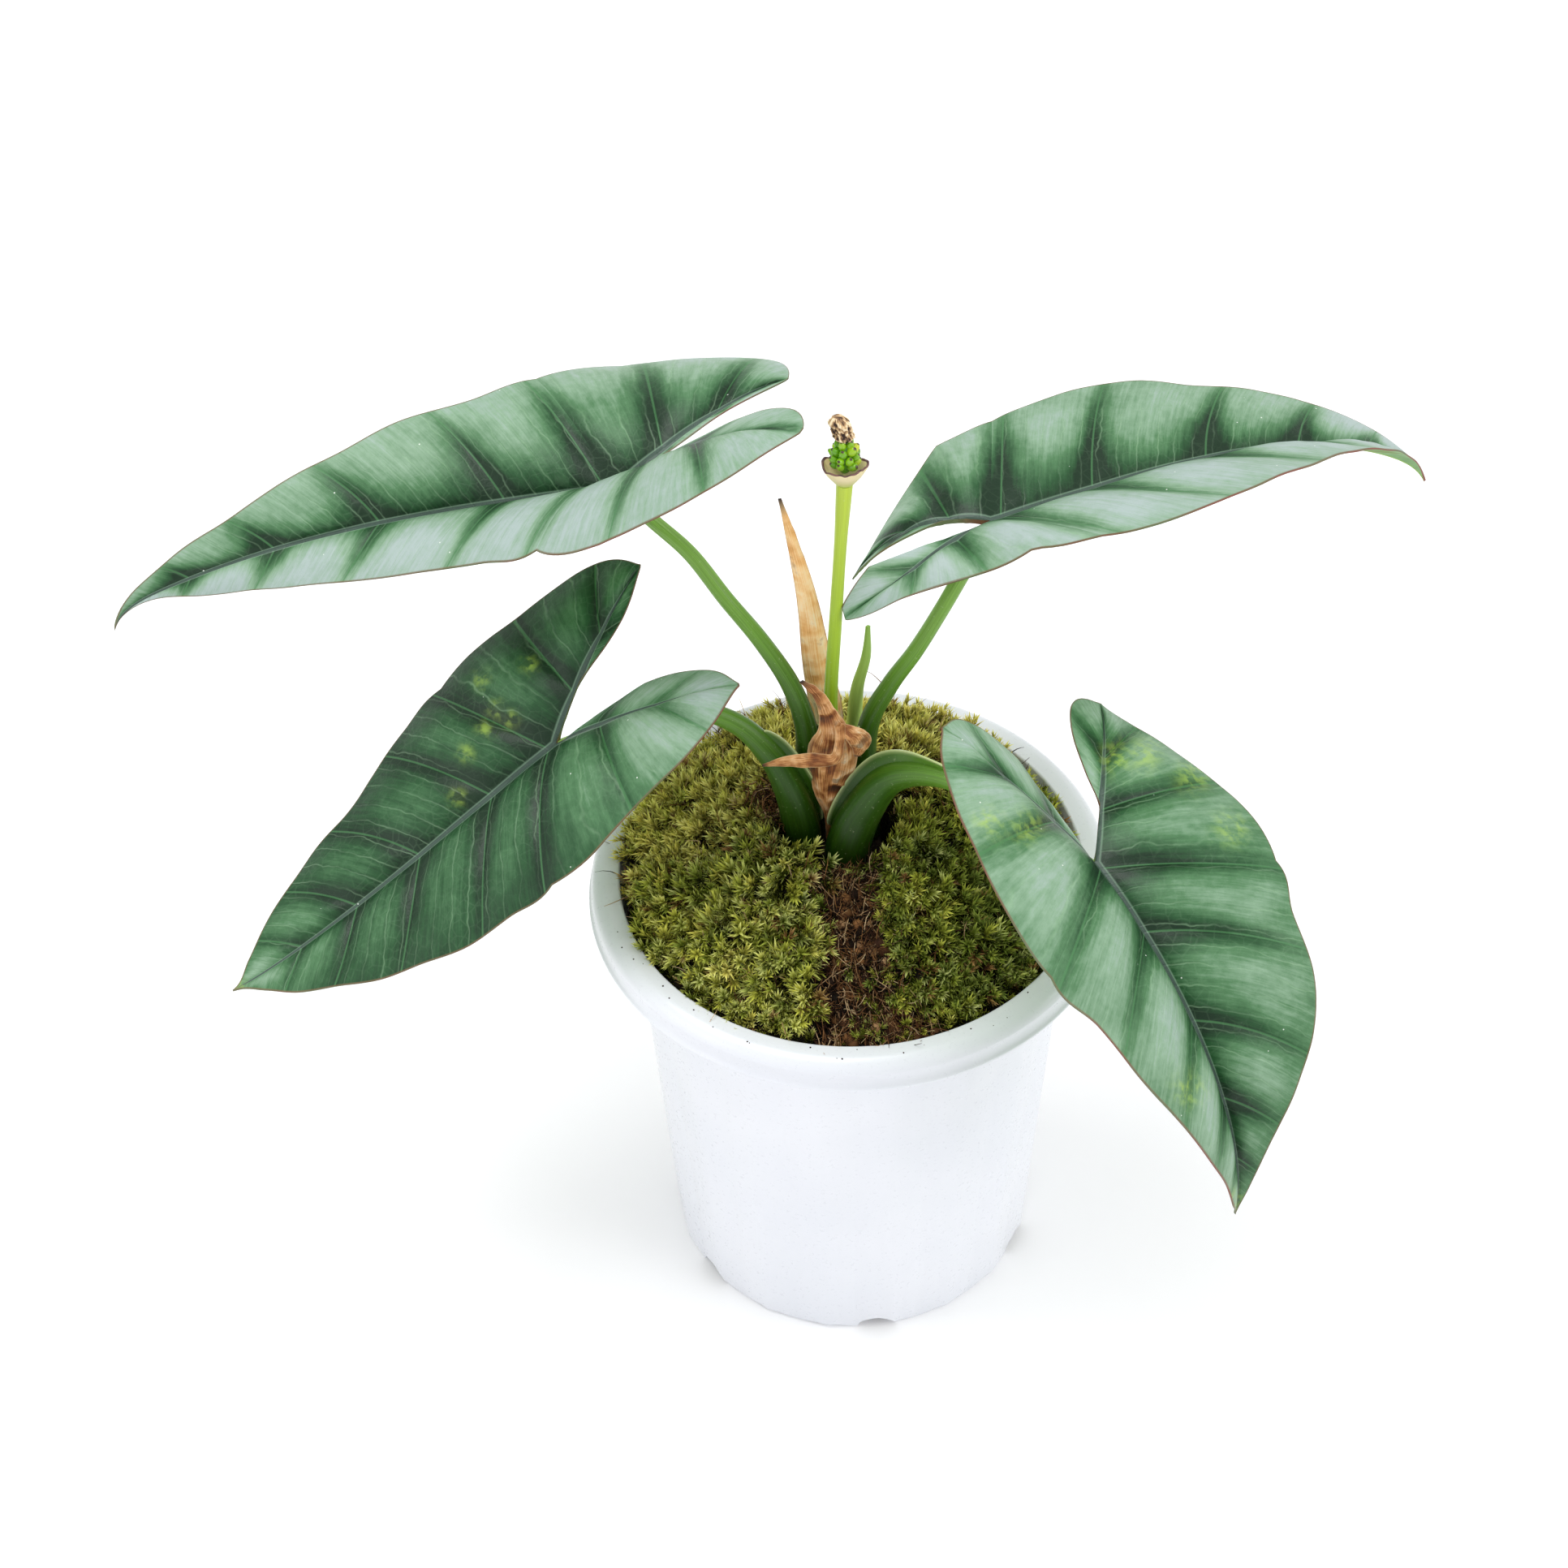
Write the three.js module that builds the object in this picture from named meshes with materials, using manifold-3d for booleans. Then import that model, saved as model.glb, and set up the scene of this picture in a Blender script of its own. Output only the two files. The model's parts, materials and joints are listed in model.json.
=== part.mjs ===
// A small jewel alocasia in a white nursery pot: four arrow-shaped leaves on sheathed stalks, a cut
// flower stalk with its green berries, dry papery bracts, a new shoot, and a bed of moss cushions.
// Units are millimetres, +Z is up, and the origin is the middle of the pot's flat underside.
import * as THREE from 'three';
import { mergeVertices } from 'three/addons/utils/BufferGeometryUtils.js';
import Module from 'manifold-3d';

const wasm = await Module();
wasm.setup();

// Driving dimensions

const SEAT_GAP = 0.3; // between two pieces that rest on each other

const POT = {
  height: 128,
  baseRadius: 46.6,
  shoulderRadius: 54.6, // outside of the body just under the collar
  shoulderHeight: 117,
  wall: 1.6,
  floor: 3,
  collarInside: 57.2,
  collarOutside: 65,
  collarDrop: 8.4, // from the rim down to the lip under the collar
  panels: 18, // shallow upright panels with a soft ridge between them
  ridge: 0.45,
  sides: 54, // three facets to a panel
};

const DRAIN = {
  count: 6,
  width: 10,
  height: 4.2,
  reach: [36, 52], // from this radius out through the wall
  firstAngle: -84, // degrees, so that one notch faces the front
};

const SOIL = { top: 116, clearance: 0.5 };

// The plant stands a little off the pot's axis.
const CROWN = { x: -3, y: 3, radius: 12, top: 131.2, bottom: 92, scarPitch: 6.5 };

const MOSS = {
  innerRadius: 13.6, // plain hole that the stalks stand in
  footRadius: 52.4,
  brimRadius: 55.4,
  brimHeight: 120,
  bottom: SOIL.top + SEAT_GAP,
  edgeHeight: 124, // where the bed meets the pot
  crownHeight: 139, // where it meets the stalks
  joint: 0.7, // crack between two cushions
  tuft: 1.9, // height of the coarse tufts over the cushion
  lump: 1.6, // height of the broad lumps
};

// Each cushion covers the angles from its own start to the next one's, in degrees.
const CUSHIONS = [
  { name: 'moss_front_left', from: 196, lift: 0.5 },
  { name: 'moss_peat_ridge', from: 262, lift: 0.2 },
  { name: 'moss_front_right', from: 291, lift: 0.6 },
  { name: 'moss_right', from: 338, lift: -0.6 },
  { name: 'moss_back', from: 28, lift: 1.4 },
  { name: 'moss_left', from: 132, lift: 0.4 },
];

const BLADE = {
  thickness: 0.7,
  ribDepth: 0.9, // how far the ribs stand out of the underside at the hub
  lobeRows: 7,
  bladeRows: 18,
  quilt: 2.2, // rise of the blade between two lateral veins
  quiltReach: 16, // veins shorter than this have less quilting between them
  slit: 0.7, // half the least gap between the two lobes
  lobeRound: 7, // rounds the lobes' ends: the veins reach up to a quarter of this further
  veinAngleHub: 62, // degrees between a lateral vein and the midrib
  veinAngleTip: 38,
  veinBow: 0.25,
};

// Where the lateral veins leave the ribs: -1 is a lobe's end, 0 the hub and 1 the leaf tip.
const VEINS = [-1, -0.64, -0.3, 0.02, 0.2, 0.43, 0.63, 0.8, 1];

// Reach of the lateral veins, in mm, at -1, -2/3, -1/3, 0, 1/8 ... 7/8 and 1 along the ribs.
// Angles are in degrees. Left and right are as seen from the hub towards the tip.
const LEAVES = {
  back_left: {
    hub: [-53.5, 36, 222],
    heading: 179,
    sweep: 5, // change of heading from hub to tip
    pitch: -7, // slope of the midrib at the hub
    droop: -2, // change of slope from hub to tip
    sag: -23, // further change, which grows with the square of the distance
    hook: -45, // sharp bend of the last part of the tip
    lobePitch: 12, // change of slope over 40 mm of lobe
    roll: -29,
    twist: -84,
    foldLobe: 75, // how steeply each half rises from its rib
    foldHub: 49,
    foldTip: -4,
    lift: 39, // added to the left half and taken from the right
    curl: 48, // how much a half turns down again over 30 mm
    midrib: 133,
    lobe: [65, 47],
    splay: [61, 38],
    left: [17, 22.5, 27.5, 35, 28.5, 23, 19, 15, 11.5, 7.5, 2, 0],
    right: [3, 25.5, 37, 40, 33, 29.5, 23.5, 19, 13.5, 9.5, 4.5, 0],
    sinusLeft: [7.5, 1.5],
    sinusRight: [1.5, 1.5],
  },
  front_left: {
    hub: [-70, 1.5, 172],
    heading: 200,
    sweep: 1,
    pitch: -33,
    droop: -12,
    sag: 23,
    hook: 11,
    lobePitch: 15,
    roll: -7,
    twist: 1,
    foldLobe: 32,
    foldHub: 26,
    foldTip: 5,
    lift: -3,
    curl: 34,
    midrib: 101,
    lobe: [44, 43],
    splay: [23, 34],
    left: [5, 15, 25, 37, 36, 35, 31, 27, 21, 15, 7, 0],
    right: [3, 16.5, 25, 38, 37, 33, 29, 27, 22, 16, 8, 0],
    sinusLeft: [12, 10],
    sinusRight: [4, 0],
  },
  back_right: {
    hub: [34, 29, 215],
    heading: 24,
    sweep: 2,
    pitch: -1,
    droop: 6,
    sag: -54,
    hook: -17,
    lobePitch: 2,
    roll: -9,
    twist: -1,
    foldLobe: -57,
    foldHub: 18,
    foldTip: 27,
    lift: -1,
    curl: 14,
    midrib: 136,
    lobe: [32, 36],
    splay: [33, 14],
    left: [4, 11.5, 20, 35, 39, 37, 30, 25, 19, 13, 7, 0],
    right: [8, 5, 12, 32, 37, 35, 31, 25, 19, 12, 5, 0],
    sinusLeft: [5, 0],
    sinusRight: [10, 8],
  },
  front_right: {
    hub: [55.5, -37.5, 168],
    heading: -57,
    sweep: 4,
    pitch: -15,
    droop: -60,
    sag: -19,
    hook: 2,
    lobePitch: -4,
    roll: -14,
    twist: 21,
    foldLobe: 25,
    foldHub: 32,
    foldTip: 40,
    lift: -2,
    curl: 28,
    midrib: 100,
    lobe: [45, 45],
    splay: [40, 30],
    left: [3, 14.5, 31, 44, 40, 38, 32, 24, 16, 9, 4, 0],
    right: [3, 15.5, 29, 44, 39, 35, 29, 23, 17, 11, 6, 0],
    sinusLeft: [14, 0],
    sinusRight: [15, 17],
  },
};

// Each stalk runs through these points and ends under its leaf's hub. The radii are spread evenly along it.
const PETIOLES = {
  back_left: {
    path: [[-9.5, 9.5, 132], [-10.2, 9, 150], [-10.4, 8.2, 169], [-14, 9.6, 182.4], [-20.6, 12, 194.4],
      [-28.6, 14, 206.4], [-36.6, 20, 215.4], [-45, 27.5, 219]],
    radii: [3.4, 3.3, 3, 2.5, 2.2, 2, 1.9, 1.8, 1.8],
    wing: { from: 0.06, to: 0.3, width: 3 },
  },
  front_left: {
    path: [[-11.5, 0.5, 132], [-12, 1, 142], [-14.5, 2, 154], [-19, 4, 164], [-27, 6, 173], [-38, 6, 178],
      [-50, 4.5, 176.5], [-60, 3.5, 173.5]],
    radii: [4.4, 4.6, 4, 3.2, 2.6, 2.3, 2.1, 2, 1.9],
    wing: { from: 0.1, to: 0.42, width: 2.6 },
  },
  back_right: {
    path: [[4.5, 8.5, 132], [3.5, 9.5, 150], [5, 11.5, 167], [10, 13, 178], [16, 14, 188], [22, 16, 199],
      [28.5, 21.5, 208.5]],
    radii: [3.3, 3.2, 2.9, 2.5, 2.2, 2, 1.9, 1.9, 1.8],
    wing: { from: 0.06, to: 0.34, width: 2.4 },
  },
  front_right: {
    path: [[-1.5, -4.5, 132], [-0.5, -4.5, 142], [3, -3, 152], [10, -3.5, 163], [20, -8.5, 168.5],
      [33, -18, 169.5], [46, -29, 167]],
    radii: [5.6, 5.4, 4.8, 3.8, 2.8, 2.4, 2.2, 2, 1.9],
    wing: { from: 0.12, to: 0.56, width: 2.8 },
  },
};

const PEDUNCLE = {
  path: [[-2.6, 4.8, 132], [-3.5, 6.2, 152], [-4.4, 8, 176], [-3, 8.6, 204], [-1.8, 7.6, 228],
    [-0.8, 6.2, 246.9]],
  radii: [1.8, 1.8, 1.7, 1.6, 1.5, 1.5, 1.9],
};

const SPATHE = { base: [-0.7, 6.2, 247.7], height: 5.6, footRadius: 1.9, rimRadius: 5.15, wall: 0.8, tilt: 12 };
// Each ring of berries has its radius, its height over the cup's foot and its count.
const BERRIES = {
  rings: [[2.4, 5.5, 7], [2.5, 7.2, 8], [2.1, 8.8, 7], [1.4, 10.2, 5]],
  radius: 0.98,
  length: 1.35,
};
const SPADIX = { foot: 11.8, height: 5.8, radius: 2.4, lean: -1.4 };

// Papery and leafy bracts: a ribbon along the points, with its half widths spread evenly along it.
const BRACTS = {
  bract_dry_tall: {
    path: [[-4, 12, 131.5], [-4.6, 13, 146], [-5.2, 13.6, 166], [-7.4, 13.6, 184], [-9.6, 13.4, 206],
      [-12.8, 11.8, 226], [-15.4, 9.6, 241]],
    half: [2, 2.6, 3.7, 3.8, 3.3, 2.6, 1.9, 1.1, 0.35],
    facing: [0, -1, 0.1],
    cup: 50,
    thickness: 0.6,
  },
  bract_dry_collar: {
    path: [[-5, 2.6, 131.5], [-5, 2.4, 140], [-4.5, 2, 148], [-4.2, 1.6, 156], [-3.6, 1.6, 164],
      [-1, 2.8, 172]],
    half: [1, 1.2, 1.6, 2.4, 3.6, 4.2, 3],
    facing: [-0.1, -1, 0.15],
    cup: 60,
    thickness: 0.6,
  },
  bract_green: {
    path: [[1, 12.2, 131.5], [1.2, 14.6, 146], [1.6, 15.8, 162], [2.4, 15.8, 174], [4.4, 16.2, 184],
      [4.8, 16.6, 194]],
    half: [1.4, 1.5, 1.6, 1.6, 1.3, 0.9, 0.25],
    facing: [0.2, -1, 0],
    cup: 70,
    thickness: 0.9,
  },
};

// Shared shaping tools

const rad = THREE.MathUtils.degToRad;
const lerp = THREE.MathUtils.lerp;
const clamp = THREE.MathUtils.clamp;

// A smooth curve through evenly spaced values, read at x from 0 to values.length - 1.
function through(values, x) {
  const last = values.length - 1;
  const i = clamp(Math.floor(x), 0, last - 1);
  const t = x - i;
  const [a, b, c, d] = [i - 1, i, i + 1, i + 2].map((k) => values[clamp(k, 0, last)]);
  return 0.5 * (2 * b + (c - a) * t + (2 * a - 5 * b + 4 * c - d) * t * t + (3 * b - a - 3 * c + d) * t ** 3);
}

function geometryOf(points, faces) {
  const geometry = new THREE.BufferGeometry();
  const values = points.flatMap((p) => [p.x, p.y, p.z]);
  geometry.setAttribute('position', new THREE.Float32BufferAttribute(values, 3));
  geometry.setIndex(faces.flat());
  return geometry;
}

// A geometry with its shared corners merged, as a solid that can be cut and joined.
function solid(geometry) {
  const bare = geometry.clone();
  bare.deleteAttribute('normal');
  bare.deleteAttribute('uv');
  const merged = mergeVertices(bare, 1e-4);
  return new wasm.Manifold(
    new wasm.Mesh({
      numProp: 3,
      vertProperties: new Float32Array(merged.attributes.position.array),
      triVerts: new Uint32Array(merged.index.array),
    }),
  );
}

function geometryFromSolid(made) {
  const mesh = made.getMesh();
  const geometry = new THREE.BufferGeometry();
  geometry.setAttribute('position', new THREE.BufferAttribute(new Float32Array(mesh.vertProperties), 3));
  geometry.setIndex(new THREE.BufferAttribute(new Uint32Array(mesh.triVerts), 1));
  return geometry;
}

// A closed solid through rings of points that all have the same count, with a fan at either end.
function loft(rings) {
  const n = rings[0].length;
  const points = rings.flat();
  const faces = [];
  for (let k = 0; k < rings.length - 1; k++)
    for (let i = 0; i < n; i++) {
      const [a, b] = [k * n + i, k * n + ((i + 1) % n)];
      faces.push([a, b, b + n], [a, b + n, a + n]);
    }
  for (const [k, flip] of [[0, true], [rings.length - 1, false]]) {
    const middle = new THREE.Vector3();
    rings[k].forEach((p) => middle.addScaledVector(p, 1 / n));
    points.push(middle);
    for (let i = 0; i < n; i++) {
      const [a, b] = [k * n + i, k * n + ((i + 1) % n)];
      faces.push(flip ? [points.length - 1, b, a] : [points.length - 1, a, b]);
    }
  }
  return geometryOf(points, faces);
}

// A round stalk along a smooth path, with its radius read from evenly spaced values.
function stalk(path, radii, steps, sides = 8) {
  const curve = new THREE.CatmullRomCurve3(path);
  const frames = curve.computeFrenetFrames(steps, false);
  const rings = [];
  for (let k = 0; k <= steps; k++) {
    const centre = curve.getPointAt(k / steps);
    const radius = through(radii, (k / steps) * (radii.length - 1));
    rings.push(
      Array.from({ length: sides }, (_, i) => {
        const turn = (i / sides) * 2 * Math.PI;
        return centre
          .clone()
          .addScaledVector(frames.normals[k], radius * Math.cos(turn))
          .addScaledVector(frames.binormals[k], radius * Math.sin(turn));
      }),
    );
  }
  return loft(rings);
}

// A closed solid between an upper and a lower surface whose faces are split alike.
function closedBetween(upper, lower, faces) {
  const n = upper.length;
  const edges = new Map();
  for (const f of faces) f.forEach((a, i) => edges.set(a + ' ' + f[(i + 1) % 3], [a, f[(i + 1) % 3]]));
  const rims = [...edges.values()].filter(([a, b]) => !edges.has(b + ' ' + a));
  return geometryOf(
    [...upper, ...lower],
    [
      ...faces,
      ...faces.map(([a, b, c]) => [a + n, c + n, b + n]),
      ...rims.flatMap(([a, b]) => [[b, a, a + n], [b, a + n, b + n]]),
    ],
  );
}

// Gives a surface of triangles its thickness.
// Above and below are the distances from the surface, as numbers or one for each point.
function thicken(points, faces, above, below) {
  const normals = points.map(() => new THREE.Vector3());
  for (const [a, b, c] of faces) {
    const normal = points[b].clone().sub(points[a]).cross(points[c].clone().sub(points[a]));
    for (const i of [a, b, c]) normals[i].add(normal);
  }
  normals.forEach((n) => n.normalize());
  const depth = (side, i) => (Array.isArray(side) ? side[i] : side);
  const upper = points.map((p, i) => p.clone().addScaledVector(normals[i], depth(above, i)));
  const lower = points.map((p, i) => p.clone().addScaledVector(normals[i], -depth(below, i)));
  return closedBetween(upper, lower, faces);
}

// Faces of a grid of points that is stored row by row.
function gridFaces(rows, columns, start = 0) {
  const faces = [];
  for (let r = 0; r < rows; r++)
    for (let c = 0; c < columns; c++) {
      const a = start + r * (columns + 1) + c;
      const b = a + columns + 1;
      faces.push([a, b, b + 1], [a, b + 1, a + 1]);
    }
  return faces;
}

// A repeatable draw between 0 and 1 for a whole number.
function draw(n) {
  const x = Math.sin(n * 127.1 + 311.7) * 43758.5453;
  return x - Math.floor(x);
}

// Leaf blades

// The leaf's spine at every step from the lobe ends to the tip: its point and its three directions.
function spineOf(leaf) {
  const steps = 60;
  const back = -Math.max(...leaf.lobe) * 1.15;
  const walk = (end) => {
    const stations = [];
    const at = new THREE.Vector3(...leaf.hub);
    let before = null;
    for (let k = 0; k <= steps; k++) {
      const u = (end * k) / steps;
      const x = u / leaf.midrib;
      const ahead = Math.max(x, 0);
      const pitch =
        u < 0
          ? leaf.pitch - (leaf.lobePitch * u) / 40
          : leaf.pitch + leaf.droop * x + leaf.sag * x * x + leaf.hook * clamp((x - 0.86) / 0.14, 0, 1) ** 2;
      const [p, y, r] = [rad(pitch), rad(leaf.heading + leaf.sweep * ahead), rad(leaf.roll + leaf.twist * x)];
      const along = new THREE.Vector3(Math.cos(p) * Math.cos(y), Math.cos(p) * Math.sin(y), Math.sin(p));
      const level = new THREE.Vector3(-Math.sin(y), Math.cos(y), 0);
      const upright = along.clone().cross(level);
      const left = level.clone().multiplyScalar(Math.cos(r)).addScaledVector(upright, Math.sin(r));
      const up = upright.clone().multiplyScalar(Math.cos(r)).addScaledVector(level, -Math.sin(r));
      if (before) at.addScaledVector(along.clone().add(before), (0.5 * end) / steps);
      before = along.clone();
      stations.push({ u, at: at.clone(), along, left, up });
    }
    return stations;
  };
  return [...walk(back).reverse().slice(0, -1), ...walk(leaf.midrib)];
}

// The point in space of a point on the flat leaf: u along the midrib, v to the left, raised by rise.
function bent(leaf, spine, u, v, rise) {
  let k = spine.findIndex((station) => station.u >= u);
  k = k < 0 ? spine.length - 1 : Math.max(k, 1);
  const [a, b] = [spine[k - 1], spine[k]];
  const t = clamp((u - a.u) / (b.u - a.u), 0, 1);
  const mix = (key) => a[key].clone().lerp(b[key], t);
  const half =
    u < 0
      ? lerp(leaf.foldHub, leaf.foldLobe, clamp(-u / 40, 0, 1))
      : lerp(leaf.foldHub, leaf.foldTip, clamp(u / leaf.midrib, 0, 1));
  const fold = rad(half + (v > 0 ? leaf.lift : -leaf.lift));
  const turn = rad(leaf.curl) / 30;
  const reach = Math.abs(v);
  const across = (Math.sin(fold) - Math.sin(fold - turn * reach)) / turn;
  const high = (Math.cos(fold - turn * reach) - Math.cos(fold)) / turn;
  return mix('at')
    .addScaledVector(b.along, Math.max(u - b.u, 0))
    .addScaledVector(mix('left'), Math.sign(v) * across)
    .addScaledVector(mix('up'), high + rise);
}

// Position on the ribs: s from -1 at the lobe's end through 0 at the hub to 1 at the tip.
function onRib(leaf, side, s) {
  const i = side > 0 ? 0 : 1;
  if (s >= 0) return [leaf.midrib * s, 0];
  const back = rad(180 - leaf.splay[i]);
  return [-leaf.lobe[i] * s * Math.cos(back), -side * leaf.lobe[i] * s * Math.sin(back)];
}

// How much the blade rises between the veins, from 0 on a vein to 1 midway.
function between(s) {
  const i = clamp(VEINS.findIndex((v) => v > s), 1, VEINS.length - 1);
  return Math.sin(Math.PI * clamp((s - VEINS[i - 1]) / (VEINS[i] - VEINS[i - 1]), 0, 1)) ** 0.8;
}

// What rounds the outline near a lobe's end: steep at s -1, highest at -3/4 and gone at 0.
function endRounding(s) {
  return s < 0 ? BLADE.lobeRound * (Math.sqrt(1 + s) - (1 + s)) : 0;
}

// A flat point between the rib (t 0) and the outer margin (t 1).
function outward(leaf, side, s, t) {
  const [u, v] = onRib(leaf, side, s);
  const i = side > 0 ? 0 : 1;
  const veins = side > 0 ? leaf.left : leaf.right;
  const reach = Math.max(through(veins, s < 0 ? (s + 1) * 3 : 3 + s * 8), 0) + endRounding(s);
  const lobeTurn = 180 - leaf.splay[i] - BLADE.veinAngleHub;
  const angle = rad(
    s < 0
      ? BLADE.veinAngleHub + lobeTurn * Math.abs(s) ** 1.2
      : lerp(BLADE.veinAngleHub, BLADE.veinAngleTip, s),
  );
  const bow = BLADE.veinBow * (t * t - t) * Math.sin(Math.PI * clamp(s, 0, 1));
  return [u + reach * (t * Math.cos(angle) + bow), v + side * reach * t * Math.sin(angle), reach];
}

// A flat point between a lobe's rib (t 0) and the margin that faces the other lobe (t 1).
function inward(leaf, side, s, t) {
  const [u, v] = onRib(leaf, side, s);
  const i = side > 0 ? 0 : 1;
  const [outer, sinus] = side > 0 ? [leaf.left, leaf.sinusLeft] : [leaf.right, leaf.sinusRight];
  const plain = Math.max(through([outer[0], ...sinus, 0], (s + 1) * 3), 0);
  const reach = plain + endRounding(s) * Math.min(plain / 4, 1);
  const angle = rad(180 - leaf.splay[i] + 75 * (1 - Math.abs(s)) ** 0.8);
  const slit = Math.min(BLADE.slit / Math.cos(rad(leaf.foldLobe)), side * v);
  const across = Math.max(side * v + reach * t * Math.sin(angle), slit);
  return [u + reach * t * Math.cos(angle), side * across, reach];
}

function bladeGeometry(leaf) {
  const spine = spineOf(leaf);
  const columns = [0, 0.06, 0.25, 0.5, 0.75, 1];
  const inner = [0, 0.5, 1];
  const lobeSteps = Array.from({ length: BLADE.lobeRows + 1 }, (_, k) => -1 + k / BLADE.lobeRows);
  const bladeSteps = Array.from({ length: BLADE.bladeRows }, (_, k) => (k + 1) / BLADE.bladeRows);
  const points = [];
  const faces = [];
  const ribs = [];
  const lay = (side, steps, across, flat) => {
    const start = points.length;
    for (const s of steps)
      for (const column of across) {
        // A lobe's end has only the three points that both of its strips share.
        const t = s === -1 ? Math.round(2 * column) / 2 : column;
        const [u, v, reach] = flat(leaf, side, s, t);
        const arch = Math.sin(Math.PI * t ** 0.75) * between(s) * Math.min(reach / BLADE.quiltReach, 1);
        const rise = BLADE.quilt * arch * (1 - 0.45 * Math.max(s, 0)) * (flat === outward ? 1 : 0.3);
        const onSpine = t === 0 ? 1 : 0;
        points.push(bent(leaf, spine, u, v, rise));
        ribs.push(BLADE.thickness / 2 + onSpine * BLADE.ribDepth * (1 - 0.75 * Math.abs(s)));
      }
    const made = gridFaces(steps.length - 1, across.length - 1, start);
    const outside = (side > 0) === (flat === outward);
    faces.push(...made.map(([a, b, c]) => (outside ? [a, b, c] : [a, c, b])));
  };
  for (const side of [1, -1]) {
    lay(side, [...lobeSteps, ...bladeSteps], columns, outward);
    lay(side, lobeSteps, inner, inward);
  }
  const blade = welded(points, faces, ribs);
  return thicken(blade.points, blade.faces, BLADE.thickness / 2, blade.depths);
}

// Merges points that lie on each other, with their depths, and drops the faces that this closes up.
function welded(points, faces, depths) {
  const kept = [];
  const below = [];
  const seen = new Map();
  const to = points.map((p, i) => {
    const key = [p.x, p.y, p.z].map((x) => Math.round(x * 50)).join(' ');
    if (!seen.has(key)) {
      seen.set(key, kept.length);
      kept.push(p);
      below.push(depths[i]);
    }
    return seen.get(key);
  });
  const sound = faces.map((f) => f.map((i) => to[i])).filter(([a, b, c]) => a !== b && b !== c && c !== a);
  return { points: kept, faces: sound, depths: below };
}

// Stalks and bracts

function petioleGeometry(name) {
  const leaf = LEAVES[name];
  const { path, radii, wing } = PETIOLES[name];
  const hub = spineOf(leaf).find((station) => station.u === 0);
  const seat = BLADE.thickness / 2 + BLADE.ribDepth + SEAT_GAP + radii.at(-1);
  const points = [...path.map((p) => new THREE.Vector3(...p)), hub.at.clone().addScaledVector(hub.up, -seat)];
  return geometryFromSolid(solid(stalk(points, radii, 20)).add(solid(wingGeometry(points, radii, wing))));
}

// The thin edge of a stalk's sheath, which stands up along the side towards the crown and ends in a point.
function wingGeometry(path, radii, wing) {
  const curve = new THREE.CatmullRomCurve3(path);
  const rows = 9;
  const points = [];
  for (let k = 0; k <= rows; k++) {
    const share = lerp(wing.from, wing.to, k / rows);
    const centre = curve.getPointAt(share);
    const along = curve.getTangentAt(share);
    const inwards = new THREE.Vector3(CROWN.x - centre.x, CROWN.y + 6 - centre.y, 30);
    inwards.addScaledVector(along, -inwards.dot(along)).normalize();
    const radius = through(radii, share * (radii.length - 1));
    const height = wing.width * Math.sin(Math.PI * Math.min(0.12 + 0.88 * (k / rows) ** 1.4, 1)) ** 0.6;
    for (const t of [0, 0.5, 1])
      points.push(
        centre
          .clone()
          .addScaledVector(inwards, radius * 0.55 + (radius * 0.45 + height) * t)
          .addScaledVector(along, 1.6 * t * (k / rows)),
      );
  }
  return thicken(points, gridFaces(rows, 2), 0.35, 0.35);
}

// A ribbon that is bent round its own length, as a bract is.
function bractGeometry({ path, half, facing, cup, thickness }, rows = 13, columns = 4) {
  const curve = new THREE.CatmullRomCurve3(path.map((p) => new THREE.Vector3(...p)));
  const front = new THREE.Vector3(...facing);
  const points = [];
  for (let k = 0; k <= rows; k++) {
    const share = k / rows;
    const centre = curve.getPointAt(share);
    const along = curve.getTangentAt(share);
    const out = front.clone().addScaledVector(along, -front.dot(along)).normalize();
    const side = along.clone().cross(out).normalize();
    const width = Math.max(through(half, share * (half.length - 1)), 0.2);
    for (let c = 0; c <= columns; c++) {
      const turn = rad(cup) * ((2 * c) / columns - 1);
      const bend = width / Math.sin(rad(cup));
      points.push(
        centre
          .clone()
          .addScaledVector(side, bend * Math.sin(turn))
          .addScaledVector(out, -bend * (1 - Math.cos(turn))),
      );
    }
  }
  return thicken(points, gridFaces(rows, columns), thickness / 2, thickness / 2);
}

// Flower stalk with its cut spathe, berries and withered spadix

function onStalk(geometry) {
  geometry.rotateX(rad(SPATHE.tilt) * -1);
  return geometry.translate(...SPATHE.base);
}

function lathe(profile, sides) {
  const points = profile.map(([r, z]) => new THREE.Vector2(r, z));
  return new THREE.LatheGeometry(points, sides).rotateX(Math.PI / 2);
}

function spatheGeometry() {
  const { height, footRadius, rimRadius, wall } = SPATHE;
  const cup = lathe(
    [
      [0, 0],
      [footRadius, 0],
      [footRadius + 0.9, 1.6],
      [rimRadius - 0.8, 3.8],
      [rimRadius, height - 0.5],
      [rimRadius - 0.1, height],
      [rimRadius - wall, height - 0.2],
      [rimRadius - 0.8 - wall, 3.8],
      [footRadius, 2.4],
      [0, 2.2],
    ],
    20,
  );
  return onStalk(cup);
}

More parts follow.
